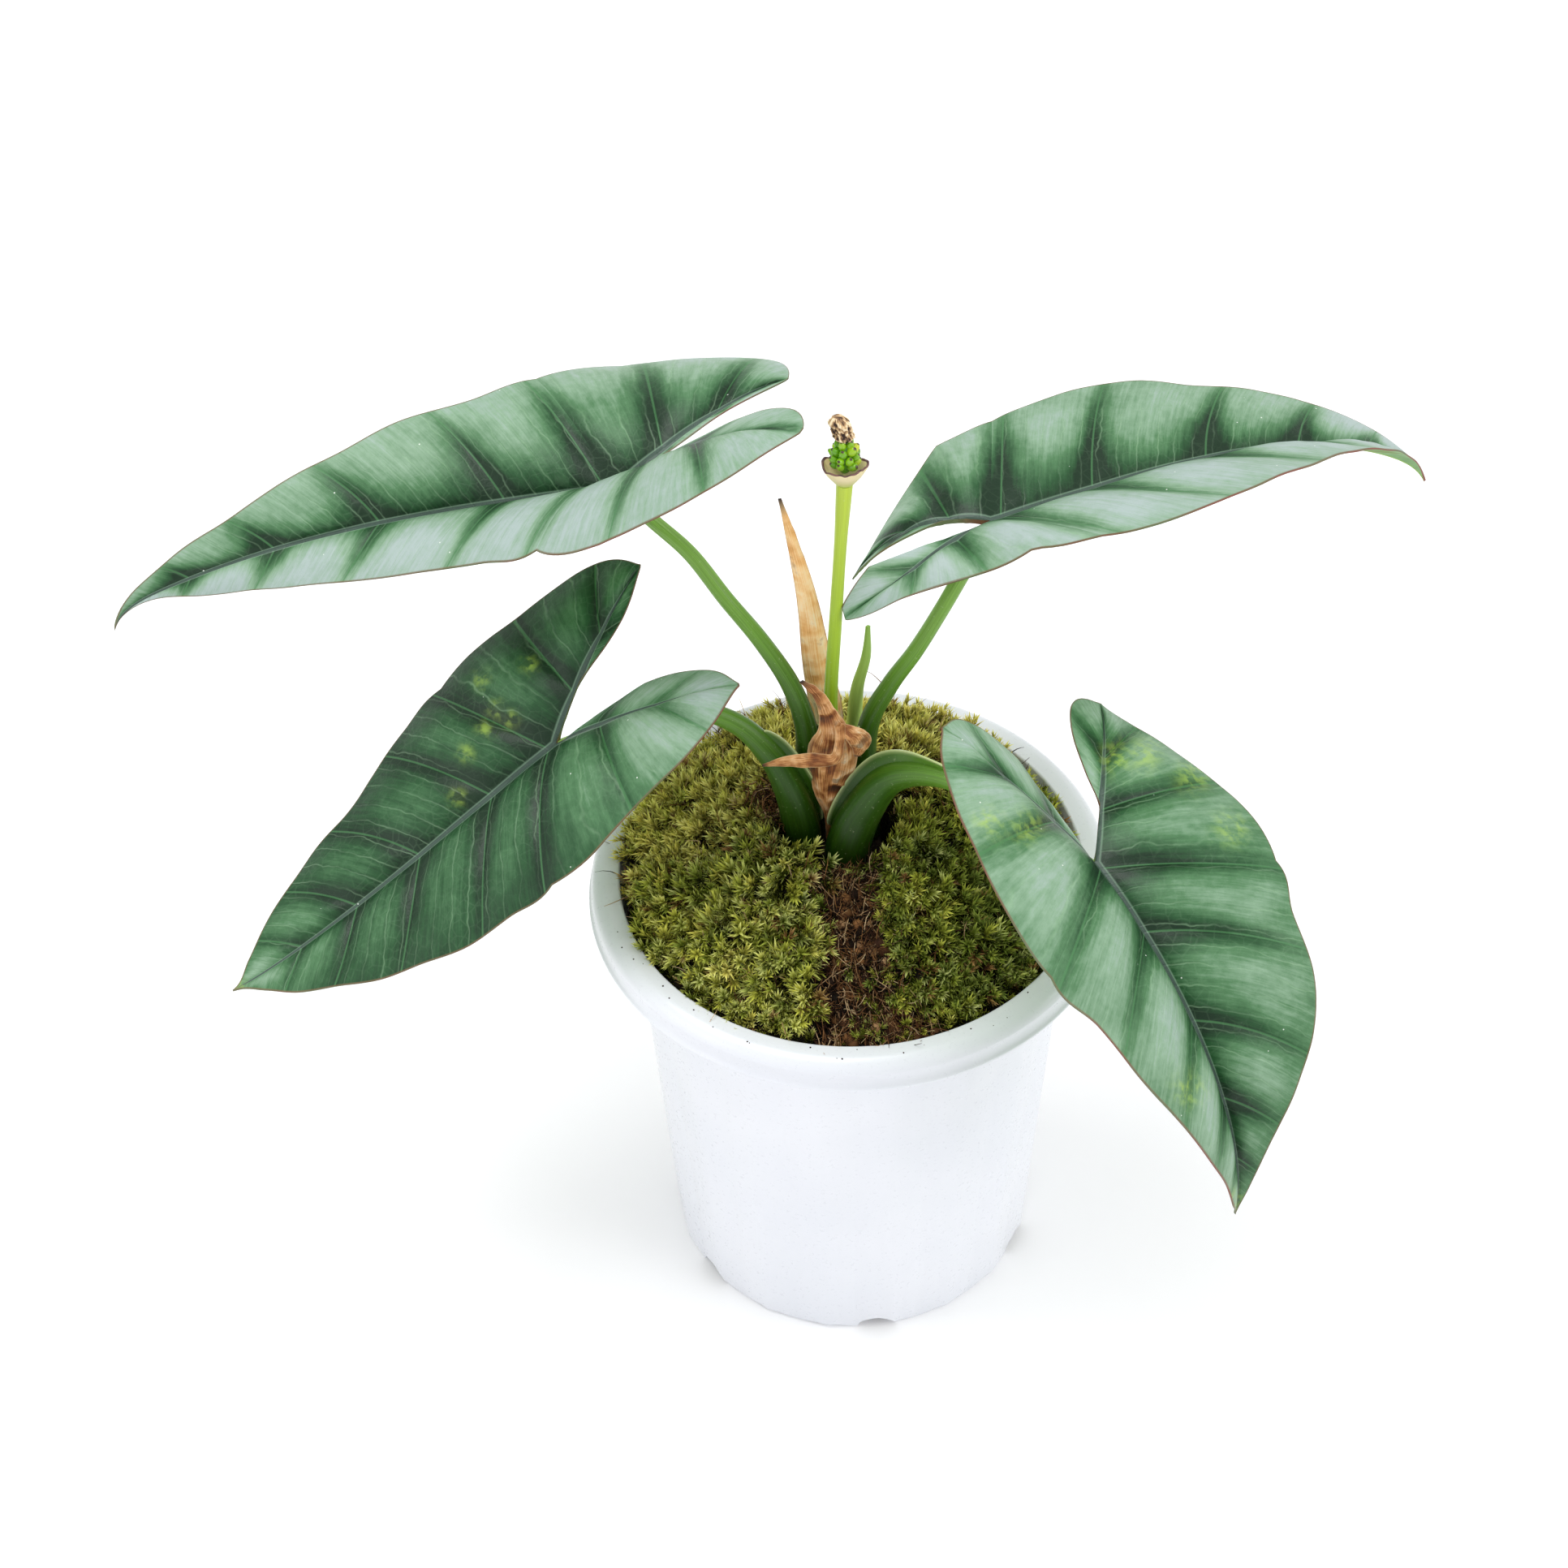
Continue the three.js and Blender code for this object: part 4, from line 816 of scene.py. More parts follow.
def turned(name, profile, sides):
    """A round piece: its profile of radius and height, spun once round the upright axis."""
    edges = [(i, i + 1) for i in range(len(profile) - 1)]
    mesh = bpy.data.meshes.new(name)
    mesh.from_pydata([(r * MM, 0, z * MM) for r, z in profile], edges, [])
    piece = added(name, mesh)

    def work():
        bpy.ops.mesh.spin(steps=sides, angle=2 * math.pi, center=(0, 0, 0), axis=(0, 0, 1))
        bpy.ops.mesh.select_all(action="SELECT")
        bpy.ops.mesh.remove_doubles(threshold=WELD * MM)
        bpy.ops.mesh.normals_make_consistent(inside=False)
    in_edit_mode(piece, work)
    return piece


def arc(centre, radius, start, end, count):
    """Points of a round corner, with its angles in degrees."""
    turns = np.radians(np.linspace(start, end, count))
    return [(centre[0] + radius * math.cos(a), centre[1] + radius * math.sin(a)) for a in turns]


def pot_outside(z):
    return POT["base_radius"] + (POT["shoulder_radius"] - POT["base_radius"]) * z / POT["shoulder_height"]


def pot(material):
    height, wall, floor = POT["height"], POT["wall"], POT["floor"]
    lip = height - POT["collar_drop"]
    inside, outside, shoulder = POT["collar_inside"], POT["collar_outside"], POT["shoulder_height"]
    body = [(pot_outside(z), z) for z in np.linspace(2.2, shoulder, 24)]
    profile = [
        (0, 0),
        (POT["base_radius"] - 8, 0),
        *arc((POT["base_radius"] - 1.8, 1.9), 1.9, -90, 0, 6),
        *body,
        (inside + 0.4, lip + 0.3),
        (outside - 1.2, lip),
        *arc((outside - 0.8, lip + 0.9), 0.8, -80, 60, 7),
        (outside - 0.8, lip + 2.4),
        *[(outside - 0.85 - 0.1 * k, lip + 2.4 + k * 0.95) for k in range(1, 3)],
        *arc((outside - 4.6, height - 3.9), 3.9, 12, 90, 14),
        (inside + 1.4, height - 0.06),
        *arc((inside + 0.6, height - 0.9), 0.75, 80, 180, 7),
        (inside - 0.9, lip + 1),
        (POT["shoulder_radius"] - wall, shoulder - 1),
        (POT["base_radius"] - wall + 0.6, floor + 2),
        (POT["base_radius"] - wall - 1, floor),
        (0, floor),
    ]
    piece = turned("pot_moulded", profile, POT["sides"])
    for vertex in piece.data.vertices:
        x, y, z = vertex.co / MM
        radius = math.hypot(x, y)
        if 1 <= z <= shoulder + 0.1 and radius > pot_outside(z) - 0.2:
            panel = math.atan2(y, x) / (2 * math.pi) * POT["panels"]
            swell = 1 + POT["ridge"] * math.cos(2 * math.pi * panel) ** 3 / radius
            vertex.co.x, vertex.co.y = x * swell * MM, y * swell * MM
    near, far = DRAIN["reach"]
    for i in range(DRAIN["count"]):
        angle = math.radians(DRAIN["first_angle"] + 360 * i / DRAIN["count"])
        middle = (near + far) / 2
        bpy.ops.mesh.primitive_cylinder_add(
            vertices=40, radius=DRAIN["width"] / 2 * MM, depth=(far - near) * MM,
            location=(middle * math.cos(angle) * MM, middle * math.sin(angle) * MM, 0),
            rotation=(0, math.pi / 2, angle))
        cutter = bpy.context.active_object
        cutter.scale = (DRAIN["height"] / (DRAIN["width"] / 2), 1, 1)
        placed(cutter)
        apply_modifier(piece, "BOOLEAN", object=cutter, operation="DIFFERENCE", solver="EXACT")
        bpy.data.objects.remove(cutter)
    return complete(piece, material, 35, "pot")


# Moss, peat and loose litter

def sprig_template(rng):
    """One moss sprig along +Z, 1 long: a bent shoot with narrow pointed leaves that spread like a star."""
    points, faces, reach = [], [], []
    bend = rng.uniform(0.2, 0.5)

    def shoot_at(t):
        return np.array([bend * t * t, 0, t * (1 - 0.35 * bend * t)])

    for t, w in ((0, 0.035), (0, -0.035), (0.9, -0.008), (0.9, 0.008)):
        points.append(shoot_at(t) + np.array([0, w, 0]))
    faces.append((0, 1, 2, 3))
    # Reach runs from a sprig's foot to its leaf tips; the moss finish paints shade and pale tips by it.
    reach += [0, 0, 0.6, 0.6]
    for k in range(SPRIG_LEAVES):
        t = 0.16 + 0.82 * (k / (SPRIG_LEAVES - 1)) ** 0.8
        turn = k * 2.4 + rng.uniform(-0.35, 0.35)
        spread = math.radians(84 - 58 * t**1.5 + rng.uniform(-10, 10))
        length = 0.37 * (0.5 + 0.9 * t * (1.35 - t)) * rng.uniform(0.85, 1.15)
        out = np.array([math.cos(turn), math.sin(turn), 0])
        ahead = unit(np.array([2 * bend * t, 0, 1]))
        aim = unit(out * math.sin(spread) + ahead * math.cos(spread))
        side = unit(np.cross(aim, ahead)) * rng.uniform(0.032, 0.042)
        lift = unit(np.cross(side, aim)) * 0.014
        foot = shoot_at(t)
        middle = foot + aim * length * 0.4
        tip = foot + aim * length + ahead * 0.18 * length
        n = len(points)
        points += [foot, middle + side + lift, tip, middle - side + lift]
        faces.append((n, n + 1, n + 2, n + 3))
        reach += [0.1 + 0.5 * t, 0.35 + 0.4 * t, 0.6 + 0.4 * t, 0.35 + 0.4 * t]
    return np.array(points), np.array(faces), np.array(reach)


def triangle_draws(node_name, count, rng, least_up=0.25):
    """Random spots on the top of a CAD node, spread evenly by area, with the face normals there."""
    mesh = frame["nodes"][node_name].data
    mesh.calc_loop_triangles()
    corners = np.array([[mesh.vertices[v].co for v in t.vertices] for t in mesh.loop_triangles]) / MM
    across = np.cross(corners[:, 1] - corners[:, 0], corners[:, 2] - corners[:, 0])
    area = np.linalg.norm(across, axis=1) / 2
    normal = unit(across)
    area = np.where(normal[:, 2] > least_up, area, 0)
    total = area.sum()
    chosen = rng.choice(len(area), size=int(count(total)), p=area / total)
    a, b = rng.random(len(chosen)), rng.random(len(chosen))
    a, b = np.where(a + b > 1, 1 - a, a), np.where(a + b > 1, 1 - b, b)
    c = corners[chosen]
    spots = c[:, 0] + a[:, None] * (c[:, 1] - c[:, 0]) + b[:, None] * (c[:, 2] - c[:, 0])
    return spots, normal[chosen]


def planted(template, spots, aims, sizes, turns):
    """Copies of a template, turned to their aims, as one set of points and faces."""
    points, faces = template[:2]
    side = unit(np.cross(aims, np.array([0.31, 0.17, 0.05]) + aims[:, [1, 2, 0]]))
    other = np.cross(aims, side)
    x = side * np.cos(turns)[:, None] + other * np.sin(turns)[:, None]
    y = np.cross(aims, x)
    spread = (points[None, :, 0, None] * x[:, None] + points[None, :, 1, None] * y[:, None]
              + points[None, :, 2, None] * aims[:, None]) * sizes[:, None, None]
    made = spots[:, None] + spread
    steps = np.arange(len(spots)) * len(points)
    return made.reshape(-1, 3), (faces[None] + steps[:, None, None]).reshape(-1, faces.shape[1])


def ground(node_name, material):
    """The cushion's own body: the CAD form, made smooth and roughened."""
    select_only(frame["nodes"][node_name])
    bpy.ops.object.duplicate()
    piece = bpy.context.active_object
    piece.name = node_name + "_ground"
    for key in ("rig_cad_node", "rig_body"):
        if key in piece:
            del piece[key]
    piece.parent = None
    weld(piece)
    apply_modifier(piece, "SUBSURF", levels=2, render_levels=2, subdivision_type="SIMPLE")
    apply_modifier(piece, "SMOOTH", factor=0.6, iterations=4)
    spots = places(piece)
    lumps = crinkle(spots, 2.6) * 0.7 + crinkle(spots, 6, 2) * 0.8
    for vertex, lump in zip(piece.data.vertices, lumps):
        if vertex.co.z > MOSS_FOOT * MM:
            vertex.co.z += lump * MM
    clad(piece, material)
    for key in ("tint", "reach", "pale"):
        piece.data.attributes.new(key, "FLOAT", "POINT")
    smooth(piece, 60)
    return piece


def sprigs(name, node_name, rng, density, length, tint, pale, material, keep=lambda spots: 1.0):
    """Moss sprigs all over the top of a cushion, which overlap like shingles along soft flows."""
    spots, normals = triangle_draws(node_name, lambda area: area * density, rng)
    clump = crinkle(spots, 5, 3)
    kept = rng.random(len(spots)) < np.clip(1.1 + clump * 1.8, 0.2, 1) * keep(spots)
    spots, normals, clump = spots[kept], normals[kept], clump[kept]
    count = len(spots)
    out = unit(np.stack([spots[:, 0] - CROWN["x"], spots[:, 1] - CROWN["y"], np.zeros(count)], axis=1))
    swirl = crinkle(spots, 10, 5) * 3.2
    c, s = np.cos(swirl), np.sin(swirl)
    flow = np.stack([out[:, 0] * c - out[:, 1] * s, out[:, 0] * s + out[:, 1] * c, np.zeros(count)], axis=1)
    # Near the rim the sprigs stand up and turn back, so that few hang over it
    away = np.hypot(spots[:, 0], spots[:, 1])
    edge = np.clip((away - UPRIGHT_FROM) / UPRIGHT_OVER, 0, 1) * (rng.random(count) > 0.05)
    lean = flow * (1 - edge)[:, None] * 0.8 - out * (edge * 0.45)[:, None]
    aims = unit(normals * 0.6 + np.array([0, 0, 0.3]) + lean + rng.normal(0, 0.3, (count, 3)))
    aims[:, 2] = np.maximum(aims[:, 2], 0.15)
    aims = unit(aims)
    sizes = length * rng.uniform(0.7, 1.2, count) * (1 + 0.25 * clump) * (1 - 0.25 * edge)
    # A tip that would hang out over the rim is cut short
    tip = spots[:, :2] + aims[:, :2] * sizes[:, None]
    sizes *= np.where(np.hypot(*tip.T) > TIP_RADIUS, 0.5, 1)
    turns = rng.uniform(0, 2 * math.pi, count)
    tints = np.clip(tint + 0.3 * crinkle(spots, 12, 7) + rng.normal(0, 0.15, count), 0, 0.8)
    brown = rng.random(count) < BROWN_SHARE + 0.08 * np.clip(-clump, 0, 1)
    tints = np.where(brown, rng.uniform(0.84, 1, count), tints)
    pales = np.where(rng.random(count) < pale, rng.uniform(0.4, 0.95, count), 0.2)
    kinds = rng.integers(0, SPRIG_TEMPLATES, count)
    points, faces, reach, tone, light = [], [], [], [], []
    base = 0
    for kind in range(SPRIG_TEMPLATES):
        template = sprig_template(np.random.default_rng(kind + 1))
        these = kinds == kind
        sunk = spots[these] - aims[these] * ((0.28 - 0.3 * clump[these]) * sizes[these])[:, None]
        p, f = planted(template, sunk, aims[these], sizes[these], turns[these])
        points.append(p)
        faces.append(f + base)
        base += len(p)
        copies = len(template[0])
        reach.append(np.tile(template[2], these.sum()))
        tone.append(np.repeat(tints[these], copies))
        light.append(np.repeat(pales[these], copies))
    piece = mesh_piece(name, np.vstack(points), np.vstack(faces), tint=np.concatenate(tone),
                       reach=np.concatenate(reach), pale=np.concatenate(light))
    return clad(piece, material)


def from_ridge(spots):
    """How far spots lie from the middle of the peat ridge, with those on its right above 0."""
    ridge = places(frame["nodes"]["moss_peat_ridge"])
    slope, start = np.polyfit(ridge[:, 1], ridge[:, 0], 1)
    return spots[:, 0] - start - slope * spots[:, 1]


def off_ridge(spots):
    """The share of sprigs that grow there: few beside the peat ridge in front of the crown."""
    away = from_ridge(spots)
    reach = np.where(away < 0, PEAT["left"], PEAT["right"])
    return np.where(spots[:, 1] > PEAT["back"], 1, np.clip((np.abs(away) - reach) / 2 + 0.3, 0.12, 1))


def cushion(name, live, litter):
    facts = CUSHIONS[name]
    rng = np.random.default_rng(facts["seed"])
    body = ground(name, litter)
    green = sprigs(name + "_sprigs", name, rng, facts["density"], facts["length"], facts["tint"],
                   facts["pale"], live, keep=off_ridge if name in PEAT["beside"] else lambda spots: 1.0)
    piece = joined(name + "_cushion", body, green)
    return belongs(piece, [name])


def threads(rng, spots, lengths, aims, radius=0.16, sides=3, steps=4, curl=0.5):
    """Many short curved fibres as one set of points, faces and tints."""
    points, faces, tints = [], [], []
    for spot, length, aim in zip(spots, lengths, aims):
        base = len(points)
        at, direction = np.array(spot), np.array(aim)
        turn = rng.normal(0, curl, 3)
        side = unit(np.cross(direction, (0.3, 0.5, 1)))
        other = np.cross(direction, side)
        shade = rng.beta(2, 2.4)
        for k in range(steps + 1):
            width = radius * (1 - 0.7 * k / steps)
            for i in range(sides):
                angle = 2 * math.pi * i / sides
                points.append(at + (side * math.cos(angle) + other * math.sin(angle)) * width)
                tints.append(shade)
            direction = unit(direction + np.cross(turn, direction) * 0.5 + rng.normal(0, 0.12, 3))
            at = at + direction * length / steps
        for k in range(steps):
            for i in range(sides):
                a, b = base + k * sides + i, base + k * sides + (i + 1) % sides
                faces.append((a, b, b + sides, a + sides))
    return np.array(points), np.array(faces), np.array(tints)


def thread_piece(name, *facts, **shape):
    """Fibres as a piece of their own."""
    points, faces, tints = threads(*facts, **shape)
    return mesh_piece(name, points, faces, tint=tints)


def strewn(template, rng, count, angles, radii, heights, sizes):
    """Crumbs laid at random on a ring round the pot's axis, between two heights or at a single one."""
    angle = rng.uniform(*[math.radians(a) for a in angles], count)
    radius = rng.uniform(*radii, count)
    height = rng.uniform(*heights, count) if len(heights) > 1 else np.full(count, heights[0])
    spots = np.stack([radius * np.cos(angle), radius * np.sin(angle), height], axis=1)
    aims = unit(rng.normal(0, 1, (count, 3)))
    return planted(template, spots, aims, rng.uniform(*sizes, count), rng.uniform(0, 6, count))


def peat_ridge(fibre, live, litter):
    rng = np.random.default_rng(21)
    body = ground("moss_peat_ridge", litter)
    spots, normals = triangle_draws("moss_peat_ridge", lambda area: area * PEAT["threads"], rng)
    away = np.stack([spots[:, 0] - CROWN["x"], spots[:, 1] - CROWN["y"], np.full(len(spots), -3.0)], axis=1)
    flow = unit(away) * rng.choice([-1, 1], len(spots))[:, None]
    aims = unit(flow + normals * 0.3 + rng.normal(0, 0.4, (len(spots), 3)))
    lengths = rng.uniform(*THREAD_LENGTHS, len(spots))
    mat = thread_piece("peat_fibres", rng, spots + normals * 0.3, lengths, aims, THREAD_RADIUS)
    template = crumb_template()
    spots, normals = triangle_draws("moss_peat_ridge", lambda area: area * PEAT["lumps"], rng)
    sizes = rng.uniform(0.45, 1.6, len(spots)) ** 1.5
    lumps, lump_faces = planted(template, spots + normals * 0.3, unit(rng.normal(0, 1, spots.shape)), sizes,
                                rng.uniform(0, 6, len(spots)))
    chips = mesh_piece("peat_lumps", lumps, lump_faces,
                       tint=np.repeat(rng.beta(1.2, 2.4, len(spots)), len(template[0])))
    loose = [mat, chips]
    for name in PEAT["beside"]:
        spots, normals = triangle_draws(name, lambda area: area * PEAT["spill"], rng)
        away = from_ridge(spots)
        near = np.abs(away) < np.where(away < 0, PEAT["left"], PEAT["right"]) + rng.normal(0, 1, len(away))
        near &= spots[:, 1] < PEAT["back"]
        spots, normals = spots[near] + normals[near] * 0.8, normals[near]
        aims = unit(np.stack([spots[:, 0], spots[:, 1], np.full(len(spots), -3.0)], axis=1)
                    + rng.normal(0, 16, (len(spots), 3)))
        lengths = rng.uniform(*SPILL_LENGTHS, len(spots))
        loose.append(thread_piece("peat_spill", rng, spots, lengths, aims, THREAD_RADIUS))
    for part in loose:
        clad(part, fibre)
    green = sprigs("peat_sprigs", "moss_peat_ridge", rng, 0.42, 5.6, 0.45, 0.2, live,
                   keep=lambda s: np.clip(0.1 + (s[:, 0] - 6) / 8 + (-34 - s[:, 1]) / 16, 0.03, 1))
    return belongs(joined("moss_peat_ridge_fibres", body, *loose, green), ["moss_peat_ridge"])


def crumb_template():
    bpy.ops.mesh.primitive_ico_sphere_add(subdivisions=1, radius=1)
    ball = bpy.context.active_object
    points = np.array([v.co for v in ball.data.vertices])
    faces = np.array([list(p.vertices) for p in ball.data.polygons])
    bpy.data.objects.remove(ball)
    return points * (1 + 0.3 * crinkle(points, 0.6))[:, None], faces


def litter_piece(fibre):
    """Loose crumbs of peat along the rim and brown fibres that lie on the moss."""
    rng = np.random.default_rng(31)
    template = crumb_template()
    crumbs, crumb_faces = strewn(template, rng, **CRUMBS)
    specks, speck_faces = strewn(template, rng, **SPECKS)
    tint = np.concatenate([np.repeat(rng.beta(1.4, 3, CRUMBS["count"]), len(template[0])),
                           np.full(len(specks), 0.25)])
    loose = mesh_piece("crumbs", np.vstack([crumbs, specks]),
                       np.vstack([crumb_faces, speck_faces + len(crumbs)]), tint=tint)
    pieces = [loose]
    for name in CUSHIONS:
        spots, normals = triangle_draws(name, lambda area: area * LOOSE_THREADS, rng)
        aims = unit(normals * 0.5 + rng.normal(0, 0.6, (len(spots), 3)))
        lengths = rng.uniform(*THREAD_LENGTHS, len(spots))
        pieces.append(thread_piece("loose_" + name, rng, spots + normals * 1.6, lengths, aims, THREAD_RADIUS))
    for where, height, spread, number, reach, aim in ROOT_TUFTS:
        spots = seen_at(where, height) + rng.normal(0, spread, (number, 3)) * (1, 1, 0.4)
        aims = unit(np.array(aim) + rng.normal(0, 0.7 if number > 1 else 0.05, (number, 3)))
        lengths = np.full(number, reach) * rng.uniform(0.6, 1.2, number)
        points, faces, tints = threads(rng, spots, lengths, aims, ROOT_RADIUS,
                                       curl=1.0 if number > 1 else 0.3)
        pieces.append(mesh_piece("roots", points, faces, tint=tints * 0.8 + 0.1))
    return belongs(clad(joined("loose_litter", *pieces), fibre))


# Leaf blades

def spine_of(leaf):
    """The leaf's spine at every step from the lobe ends to the tip: its points and three directions."""
    back = -max(leaf["lobe"]) * 1.15
    walks = []
    for end in (back, leaf["midrib"]):
        u = end * np.arange(SPINE_STEPS + 1) / SPINE_STEPS
        x = u / leaf["midrib"]
        ahead = leaf["droop"] * x + leaf["sag"] * x * x + leaf["hook"] * np.clip((x - 0.86) / 0.14, 0, 1) ** 2
        pitch = np.radians(leaf["pitch"] + (ahead if end > 0 else -leaf["lobe_pitch"] * u / LOBE_SPAN))
        yaw = np.radians(leaf["heading"] + leaf["sweep"] * np.maximum(x, 0))
        roll = np.radians(leaf["roll"] + leaf["twist"] * x)[:, None]
        along = np.stack([np.cos(pitch) * np.cos(yaw), np.cos(pitch) * np.sin(yaw), np.sin(pitch)], axis=1)
        level = np.stack([-np.sin(yaw), np.cos(yaw), 0 * yaw], axis=1)
        upright = np.cross(along, level)
        left = level * np.cos(roll) + upright * np.sin(roll)
        up = upright * np.cos(roll) - level * np.sin(roll)
        moves = (along[1:] + along[:-1]) * 0.5 * end / SPINE_STEPS
        at = np.array(leaf["hub"]) + np.vstack([np.zeros(3), np.cumsum(moves, axis=0)])
        walks.append((u, at, along, left, up))
    return [np.concatenate([a[:0:-1], b]) for a, b in zip(*walks)]


def read_at(x, marks, vectors):
    """The vectors that are given at the marks, read at x."""
    return np.stack([np.interp(x, marks, vectors[:, i]) for i in range(3)], axis=1)


def bent(leaf, spine, u, v, rise):
    """The points in space of the flat leaf's points, u along the midrib and v to the left, raised by rise,
    and the directions that stand on the leaf there."""
    stations, at, along, left, up = spine
    mix = [read_at(u, stations, part) for part in (at, left, up)]
    share = np.where(u < 0, np.clip(-u / LOBE_SPAN, 0, 1), np.clip(u / leaf["midrib"], 0, 1))
    far = np.where(u < 0, leaf["fold_lobe"], leaf["fold_tip"])
    half = leaf["fold_hub"] + (far - leaf["fold_hub"]) * share
    fold = np.radians(half + np.where(v > 0, leaf["lift"], -leaf["lift"]))
    turn = math.radians(leaf["curl"]) / CURL_SPAN
    reach = np.abs(v)
    across = (np.sin(fold) - np.sin(fold - turn * reach)) / turn
    high = (np.cos(fold - turn * reach) - np.cos(fold)) / turn
    # The crease at the midrib is rounded
    crease = 1 - np.exp(-((reach / CREASE) ** 2))
    rise = rise * np.where(u < 0, 1, crease)
    slope = (fold - turn * reach) * crease
    points = (mix[0] + along[-1] * np.maximum(u - stations[-1], 0)[:, None]
              + mix[1] * (np.sign(v) * across)[:, None] + mix[2] * (high + rise)[:, None])
    return points, unit(mix[2] * np.cos(slope)[:, None] - mix[1] * (np.sign(v) * np.sin(slope))[:, None])


def on_rib(leaf, side, s):
    i = 0 if side > 0 else 1
    back = math.radians(180 - leaf["splay"][i])
    ahead = leaf["midrib"] * s
    behind = leaf["lobe"][i] * -s
    u = np.where(s >= 0, ahead, behind * math.cos(back))
    return u, np.where(s >= 0, 0, side * behind * math.sin(back))


def vein_share(s):
    """Where s lies between two lateral veins, from 0 to 1, and the length of that interval."""
    marks = np.array(VEINS, float)
    i = np.clip(np.searchsorted(marks, s, side="right"), 1, len(marks) - 1)
    width = marks[i] - marks[i - 1]
    return np.clip((s - marks[i - 1]) / width, 0, 1), width


def end_rounding(s):
    return np.where(s < 0, BLADE["lobe_round"] * (np.sqrt(np.maximum(1 + s, 0)) - (1 + s)), 0)


def inside_box(points):
    """The points in millimetres, kept within the size of the solids."""
    low, high = (np.array(corner) / MM for corner in cad_box)
    return np.clip(points, low + 0.02, high - 0.02)


def outward(leaf, side, s, t):
    """Flat points between the rib (t 0) and the outer margin (t 1)."""
    u, v = on_rib(leaf, side, s)
    i = 0 if side > 0 else 1
    veins = leaf["left"] if side > 0 else leaf["right"]
    reach = np.maximum(through(veins, np.where(s < 0, (s + 1) * 3, 3 + s * 8)), 0) + end_rounding(s)
    hub, tip = BLADE["vein_angle_hub"], BLADE["vein_angle_tip"]
    angle = np.radians(np.where(
        s < 0, hub + (180 - leaf["splay"][i] - hub) * np.abs(s) ** 1.2, hub + (tip - hub) * s))
    bow = BLADE["vein_bow"] * (t * t - t) * np.sin(math.pi * np.clip(s, 0, 1))
    return u + reach * (t * np.cos(angle) + bow), v + side * reach * t * np.sin(angle), reach, np.sin(angle)


def inward(leaf, side, s, t):
    """Flat points between a lobe's rib (t 0) and the margin that faces the other lobe (t 1)."""
    u, v = on_rib(leaf, side, s)
    i = 0 if side > 0 else 1
    outer, sinus = (leaf["left"], leaf["sinus_left"]) if side > 0 else (leaf["right"], leaf["sinus_right"])
    plain = np.maximum(through([outer[0], *sinus, 0], (s + 1) * 3), 0)
    reach = plain + end_rounding(s) * np.minimum(plain / 4, 1)
    angle = np.radians(180 - leaf["splay"][i] + 75 * np.maximum(1 - np.abs(s), 0) ** 0.8)
    slit = np.minimum(BLADE["slit"] / math.cos(math.radians(leaf["fold_lobe"])), side * v)
    across = np.maximum(side * v + reach * t * np.sin(angle), slit)
    return u + reach * t * np.cos(angle), side * across, reach, np.ones_like(reach)


def interval_steps():
    """Rows along the ribs, closest together beside the lateral veins."""
    rows = [0.0]
    ease = (1 - np.cos(np.linspace(0, math.pi, BLADE["rows_to_interval"] + 1))) / 2
    for a, b in zip(VEINS, VEINS[1:]):
        rows += list(a + (b - a) * (0.6 * ease + 0.4 * np.linspace(0, 1, len(ease))))
    return np.unique(np.round(rows, 6))


